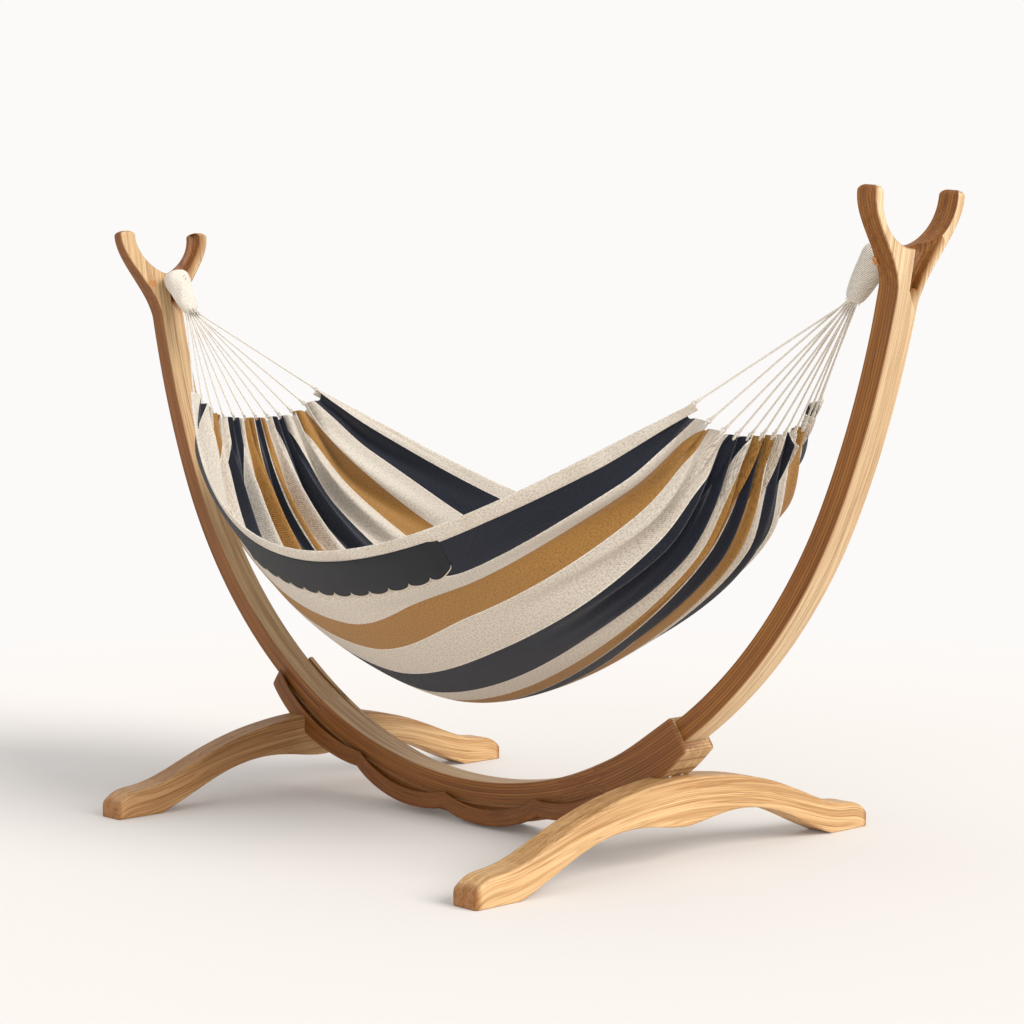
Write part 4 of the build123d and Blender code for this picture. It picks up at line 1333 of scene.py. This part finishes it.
# ------------------------------------------------------------------ the clews
@dataclass
class Clew:
    """The rope eye, bound neck, cords and tie loops at one end of the bed."""

    side: Side
    bed: Bed
    eye_x: float = 1.272
    eye_z: float = 1.3925
    slope: float = math.radians(57)    # of the neck, down from the level
    neck: tuple[tuple[float, float], ...] = (
        (-0.026, 0.030), (-0.002, 0.0370), (0.028, 0.0320), (0.080, 0.0250), (0.112, 0.018))
    neck_lean: float = 0.009           # of the neck's upper end towards the arm
    cord_radius: float = 2.4 * MM
    cord_from: float = 0.108           # where the cords start, down from the top of the rope eye
    row_step: float = 5.4 * MM         # between the two rows of cords
    spread: float = 2.5 * MM           # from one cord to the next in the neck
    eye_middle: float = 0.024          # distance down from the top of the rope eye
    eye_half: tuple[float, float] = (0.015, 0.024)   # half its breadth and half its length
    rope_radius: float = 8 * MM
    loop_radius: float = 5 * MM
    loop_wire: float = 1.7 * MM
    twine: float = 3.6 * MM            # pitch of the winding

    def axis(self, distance: Any) -> np.ndarray:
        """Points on the neck's line.

        Args:
            distance: How far down from the top of the rope eye.

        Returns:
            Points, (..., 3).
        """
        d = np.asarray(distance, float)
        x = (self.eye_x - d * math.cos(self.slope)) * self.side.value
        return np.stack([x, 0 * d, self.eye_z - d * math.sin(self.slope)], -1)

    def directions(self) -> tuple[np.ndarray, np.ndarray]:
        """Directions of the neck.

        Returns:
            Down the neck, and square to it in the X-Z plane.
        """
        down = np.array([-math.cos(self.slope) * self.side.value, 0, -math.sin(self.slope)])
        over = np.array([-math.sin(self.slope) * self.side.value, 0, math.cos(self.slope)])
        return down, over

    def whipping(self) -> bpy.types.Object:
        """Spindle of twine: the neck's outline with a half-round ridge for each turn.

        The left one is softer and wound less evenly, and ends in a longer fringe.

        Returns:
            The new object.
        """
        left = self.side is Side.LEFT
        along = np.linspace(self.neck[0][0], self.neck[-1][0], 300)
        at, radius = zip(*self.neck)
        outline = np.interp(along, np.array(at), np.array(radius))
        outline = np.convolve(np.pad(outline, 15, mode="edge"), np.ones(31) / 31, mode="valid")
        ends = np.sqrt(np.clip(1 - (np.abs(2 * (along - along[0]) / np.ptp(along) - 1)) ** 14, 0.05, 1))
        angle = np.linspace(0, TURN, 56, endpoint=False)
        pitch = self.twine * (1.5 if left else 1.0)
        turns = along[:, None] / pitch + angle[None] / TURN
        ridge = np.abs(np.sin(math.pi * turns)) * (1.1 if left else 1.5) * MM
        # painted shade between the turns, deeper on the right whipping
        painted_turn_shade = (1 - np.abs(np.sin(math.pi * turns))) ** 2 * (0.35 if left else 1.0)
        lump = 0.9 * np.sin(3 * angle + 60 * along[:, None])
        lump = lump + 0.7 * np.sin(5 * angle - 95 * along[:, None] + 1)
        r = outline[:, None] * ends[:, None] + ridge + lump * (1.2 if left else 0.35) * MM
        over = self.directions()[1]
        ring = ACROSS[None] * np.cos(angle)[:, None] + over[None] * np.sin(angle)[:, None]
        spine = self.axis(along)
        spine[:, 0] += self.side.value * self.neck_lean * (1 - smooth(along, -0.024, 0.080))
        points = spine[:, None] + ring[None] * r[..., None]
        name = f"{self.side.word}_whipping"
        shell = Shell(name + "_twine")
        shell.grid(points, ring_pattern(along, angle * 0.02), ring=True, caps=True, side=painted_turn_shade)
        self.fringe(shell, 90 if left else 30, 0.026 if left else 0.012)
        return shell.build(TWINE, Body.HAMMOCK, [name], sharp=80.0)

    def fringe(self, shell: Shell, count: int, length: float) -> None:
        """Add loose ends of twine round the lower end of the binding.

        Args:
            shell: The mesh that they are added to.
            count: How many there are.
            length: How far the longest reaches.
        """
        draw = np.random.default_rng(7 if self.side is Side.LEFT else 11)
        down, over = self.directions()
        for _ in range(count):
            around = draw.uniform(0, TURN)
            ring = ACROSS * math.cos(around) + over * math.sin(around)
            start = self.axis(self.neck[-1][0] - 0.006) + ring * draw.uniform(0.008, 0.0175)
            reach = length * draw.uniform(0.45, 1.0)
            splay = draw.uniform(0.10, 0.42)
            w = np.linspace(0, 1, 8)[:, None]
            bend = ACROSS * draw.uniform(-0.25, 0.25)
            path = start + down * reach * w + (ring * splay + bend) * reach * w**1.6
            points, pattern = tube(path, 1.0 * MM * (1 - 0.55 * w[:, 0]), 7, up=(0.3, 0.9, 0.1))
            shell.grid(points, pattern, ring=True, caps=True)

    def eye(self) -> bpy.types.Object:
        """Laid rope bent into an ellipse over the hook: a dented circle carried round it.

        Returns:
            The new object.
        """
        down, over = self.directions()
        angle = np.linspace(0, TURN, 160, endpoint=False)
        path = (self.axis(self.eye_middle) + ACROSS * self.eye_half[0] * np.cos(angle)[:, None]
                + down * self.eye_half[1] * np.sin(angle)[:, None])
        tangent = unit(np.roll(path, -1, 0) - np.roll(path, 1, 0))
        side = np.cross(tangent, over)
        step = np.linalg.norm(np.roll(path, -1, 0) - path, axis=1)
        length = np.concatenate([[0], np.cumsum(step)[:-1]])
        ring = np.linspace(0, TURN, 20, endpoint=False)
        turns = 4 / float(step.sum())
        dent = np.abs(np.cos(1.5 * (ring[None] - TURN * turns * length[:, None] * 2 / 3)))
        r = self.rope_radius * (1 - 0.16 * (1 - dent))
        points = path[:, None] + (side[:, None] * np.cos(ring)[None, :, None]
                                  + over[None, None] * np.sin(ring)[None, :, None]) * r[..., None]
        name = f"{self.side.word}_eye"
        shell = Shell(name + "_rope")
        shell.grid(points, ring_pattern(length, ring * 0.006), ring=True, loop=True)
        return shell.build(TWINE, Body.HAMMOCK, [name], sharp=80.0)

    def cord_ends(self, index: int) -> tuple[np.ndarray, np.ndarray, np.ndarray]:
        """Where one cord runs.

        Args:
            index: Which cord, from 0 at the front.

        Returns:
            Its start in the neck, its end in the loop, and the tied point of the cloth.
        """
        last = self.bed.tips - 1
        row = self.row_step * (0.5 if index % 2 else -0.5)
        start = self.axis(self.cord_from) + ACROSS * (index - last / 2) * self.spread
        start = start + self.row_direction() * row
        t = (-1 + 2 * index / last) * 0.993
        tip = self.bed.plain(np.array(float(self.side.value)), np.array(t))
        end = tip + unit(start - tip) * (2 * self.loop_radius)
        return start, end, tip

    def row_direction(self) -> np.ndarray:
        """From one row of cords to the other: square to the neck's own line, in the X-Z plane."""
        right = np.array([-math.sin(self.slope), 0.0, math.cos(self.slope)])
        return right * np.array([self.side.value, 1, 1])

    def cords(self) -> None:
        """Twisted cords, straight and tight from the neck to the loops."""
        for index in range(self.bed.tips):
            start, end, _ = self.cord_ends(index)
            length = float(np.linalg.norm(end - start))
            path = start + (end - start) * np.linspace(0, 1, int(length / 0.0024))[:, None]
            points, pattern = tube(path, self.cord_radius, 12, twist=45.0, lay=0.14)
            node = f"{self.side.word}_cord_{index + 1:02d}"
            shell = Shell(node + "_twisted")
            shell.grid(points, pattern, ring=True, caps=True)
            made = shell.build(CORD_COTTON, Body.HAMMOCK, [node], sharp=80.0)

    def loops(self) -> bpy.types.Object:
        """A ring through each tied point, with a knot in its cord and a wrap on the cloth's point.

        Returns:
            The new object.
        """
        name = f"{self.side.word}_tip_loops"
        shell = Shell(f"{self.side.word}_tie_loops")
        angle = np.linspace(0, TURN, 28, endpoint=False)
        ring = np.linspace(0, TURN, 12, endpoint=False)
        for index in range(self.bed.tips):
            start, end, tip = self.cord_ends(index)
            along = unit(start - tip)
            flat = unit(np.cross(np.array([0, 0, 1.0]), along))
            third = np.cross(along, flat)
            middle = tip + along * self.loop_radius
            spoke = along[None] * np.cos(angle)[:, None] + third[None] * np.sin(angle)[:, None]
            path = middle + spoke * self.loop_radius
            points = path[:, None] + (spoke[:, None] * np.cos(ring)[None, :, None]
                                      + flat[None, None] * np.sin(ring)[None, :, None]) * self.loop_wire
            shell.grid(points, ring_pattern(angle * 0.005, ring * 0.002), ring=True, loop=True)
            w = np.linspace(0, 1, 26)
            knot = end + along * (0.020 * w[:, None] - 0.004)
            ridges = 0.35 * MM * np.abs(np.sin(5 * TURN * w))
            bulge = 1.1 * MM + 2.3 * MM * np.sin(math.pi * w) ** 0.6 + ridges
            points, pattern = tube(knot, bulge, 12)
            shell.grid(points, pattern, ring=True, caps=True)
            wrap = tip - along * (0.016 * w[:, None] - 0.004)
            bulge = 1.2 * MM + 2.9 * MM * np.sin(math.pi * w) ** 0.6
            points, pattern = tube(wrap, bulge, 12)
            shell.grid(points, pattern, ring=True, caps=True)
        return shell.build(CORD_COTTON, Body.HAMMOCK, [name], sharp=80.0)

    def build(self) -> None:
        """Build every piece of this end."""
        self.loops()
        self.whipping()
        self.eye()
        self.cords()


# ------------------------------------------------------------------ hardware that keeps its shape
def dress_hardware() -> None:
    """Give the frame's own hooks, bolts, washers, dowels, screws and plugs their finishes."""
    for name in ("left_hook", "right_hook", "fork_screws", "foot_bolts", "foot_washers", "cross_dowels",
                 "fork_plugs"):
        finish = END_GRAIN if name == "fork_plugs" else ZINC
        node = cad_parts[name]
        node.data.materials.clear()
        node.data.materials.append(finish.material())
        LOG.info("%s: %s", name, finish.name)


# ------------------------------------------------------------------ the studio
@dataclass
class Studio:
    """Camera, lights, sky and floor."""

    camera_at: tuple[float, float, float] = (4.5025, -4.0632, 1.2181)
    look_at: tuple[float, float, float] = (0.1386, 0.0, 0.7928)
    lens: float = 84.73              # millimetres
    sensor: float = 36.0             # millimetres
    roll: float = -0.16              # degrees
    far_clip: float = 200.0
    floor_half: float = 60.0
    floor_drop: float = 0.5 * MM     # keeps the floor clear of the feet
    sky_light: float = 0.90          # strength of the surround where it lights
    sky_seen: float = 0.99           # and where it is seen

    def camera(self) -> None:
        """The view from the right and a little above."""
        data = bpy.data.cameras.new("camera")
        data.lens = self.lens
        data.sensor_width = self.sensor
        data.clip_end = self.far_clip
        made = bpy.data.objects.new("camera", data)
        bpy.context.scene.collection.objects.link(made)
        aim = Vector(self.look_at) - Vector(self.camera_at)
        turn = aim.to_track_quat("-Z", "Y").to_matrix().to_4x4()
        turn = turn @ Matrix.Rotation(math.radians(self.roll), 4, "Z")
        made.matrix_world = Matrix.Translation(self.camera_at) @ turn
        bpy.context.scene.camera = made

    def sun(self, name: str, towards: tuple[float, float, float], spread: float, power: float,
            colour: str) -> None:
        """Broad soft light, the same everywhere.

        Args:
            name: Its name.
            towards: Direction that the light comes from.
            spread: Its breadth in degrees.
            power: Its power in watts for each square metre.
            colour: Its colour.
        """
        data = bpy.data.lights.new(name, "SUN")
        data.angle = math.radians(spread)
        data.energy = power
        data.color = linear(colour)[:3]
        made = bpy.data.objects.new(name, data)
        bpy.context.scene.collection.objects.link(made)
        made.matrix_world = Vector(towards).to_track_quat("Z", "Y").to_matrix().to_4x4()

    def sky(self) -> None:
        """Even white surround, brighter where it is seen than where it lights."""
        world = bpy.data.worlds.new("surround")
        bpy.context.scene.world = world
        world.use_nodes = True
        tree = world.node_tree
        tree.nodes.clear()
        seen = add(tree, "LightPath").outputs["Is Camera Ray"]
        strength = add(tree, "MapRange", {"Value": seen, "To Min": self.sky_light,
                                          "To Max": self.sky_seen}).outputs[0]
        back = add(tree, "Background", {"Color": linear("#fdfbfa"), "Strength": strength})
        add(tree, "OutputWorld", {"Surface": back.outputs[0]})

    def floor(self) -> None:
        """Large floor, a hair under the object."""
        h = self.floor_half
        corners = [(x, y, -self.floor_drop) for x, y in ((-h, -h), (h, -h), (h, h), (-h, h))]
        mesh = bpy.data.meshes.new("floor")
        mesh.from_pydata(corners, [], [(0, 1, 2, 3)])
        made = bpy.data.objects.new("floor", mesh)
        bpy.context.scene.collection.objects.link(made)
        made.data.materials.append(StudioFloor().material())

    def build(self) -> None:
        """Set up the whole studio."""
        self.camera()
        self.sky()
        self.floor()
        self.sun("key", (5.2, 1.3, 3.6), 34.0, 3.3, "#fffaf4")
        self.sun("front_fill", (0.4, -1.0, 0.10), 60.0, 1.0, "#fffdfa")


def main() -> None:
    """Build the studio, the clews, the bed, the arms and feet, the base, and dress the hardware."""
    logging.basicConfig(level=logging.INFO, format="%(name)s %(message)s")
    scene = bpy.context.scene
    scene.view_settings.view_transform = "Standard"
    Studio().build()
    bed = Bed()
    for side in Side:
        Clew(side, bed).build()
    bed.build()
    for side in Side:
        for rear in (False, True):
            Arm(side, rear).build()
        Foot(side).build()
    Base().build()
    dress_hardware()
    bpy.context.view_layer.update()


if __name__ == "__main__":
    main()
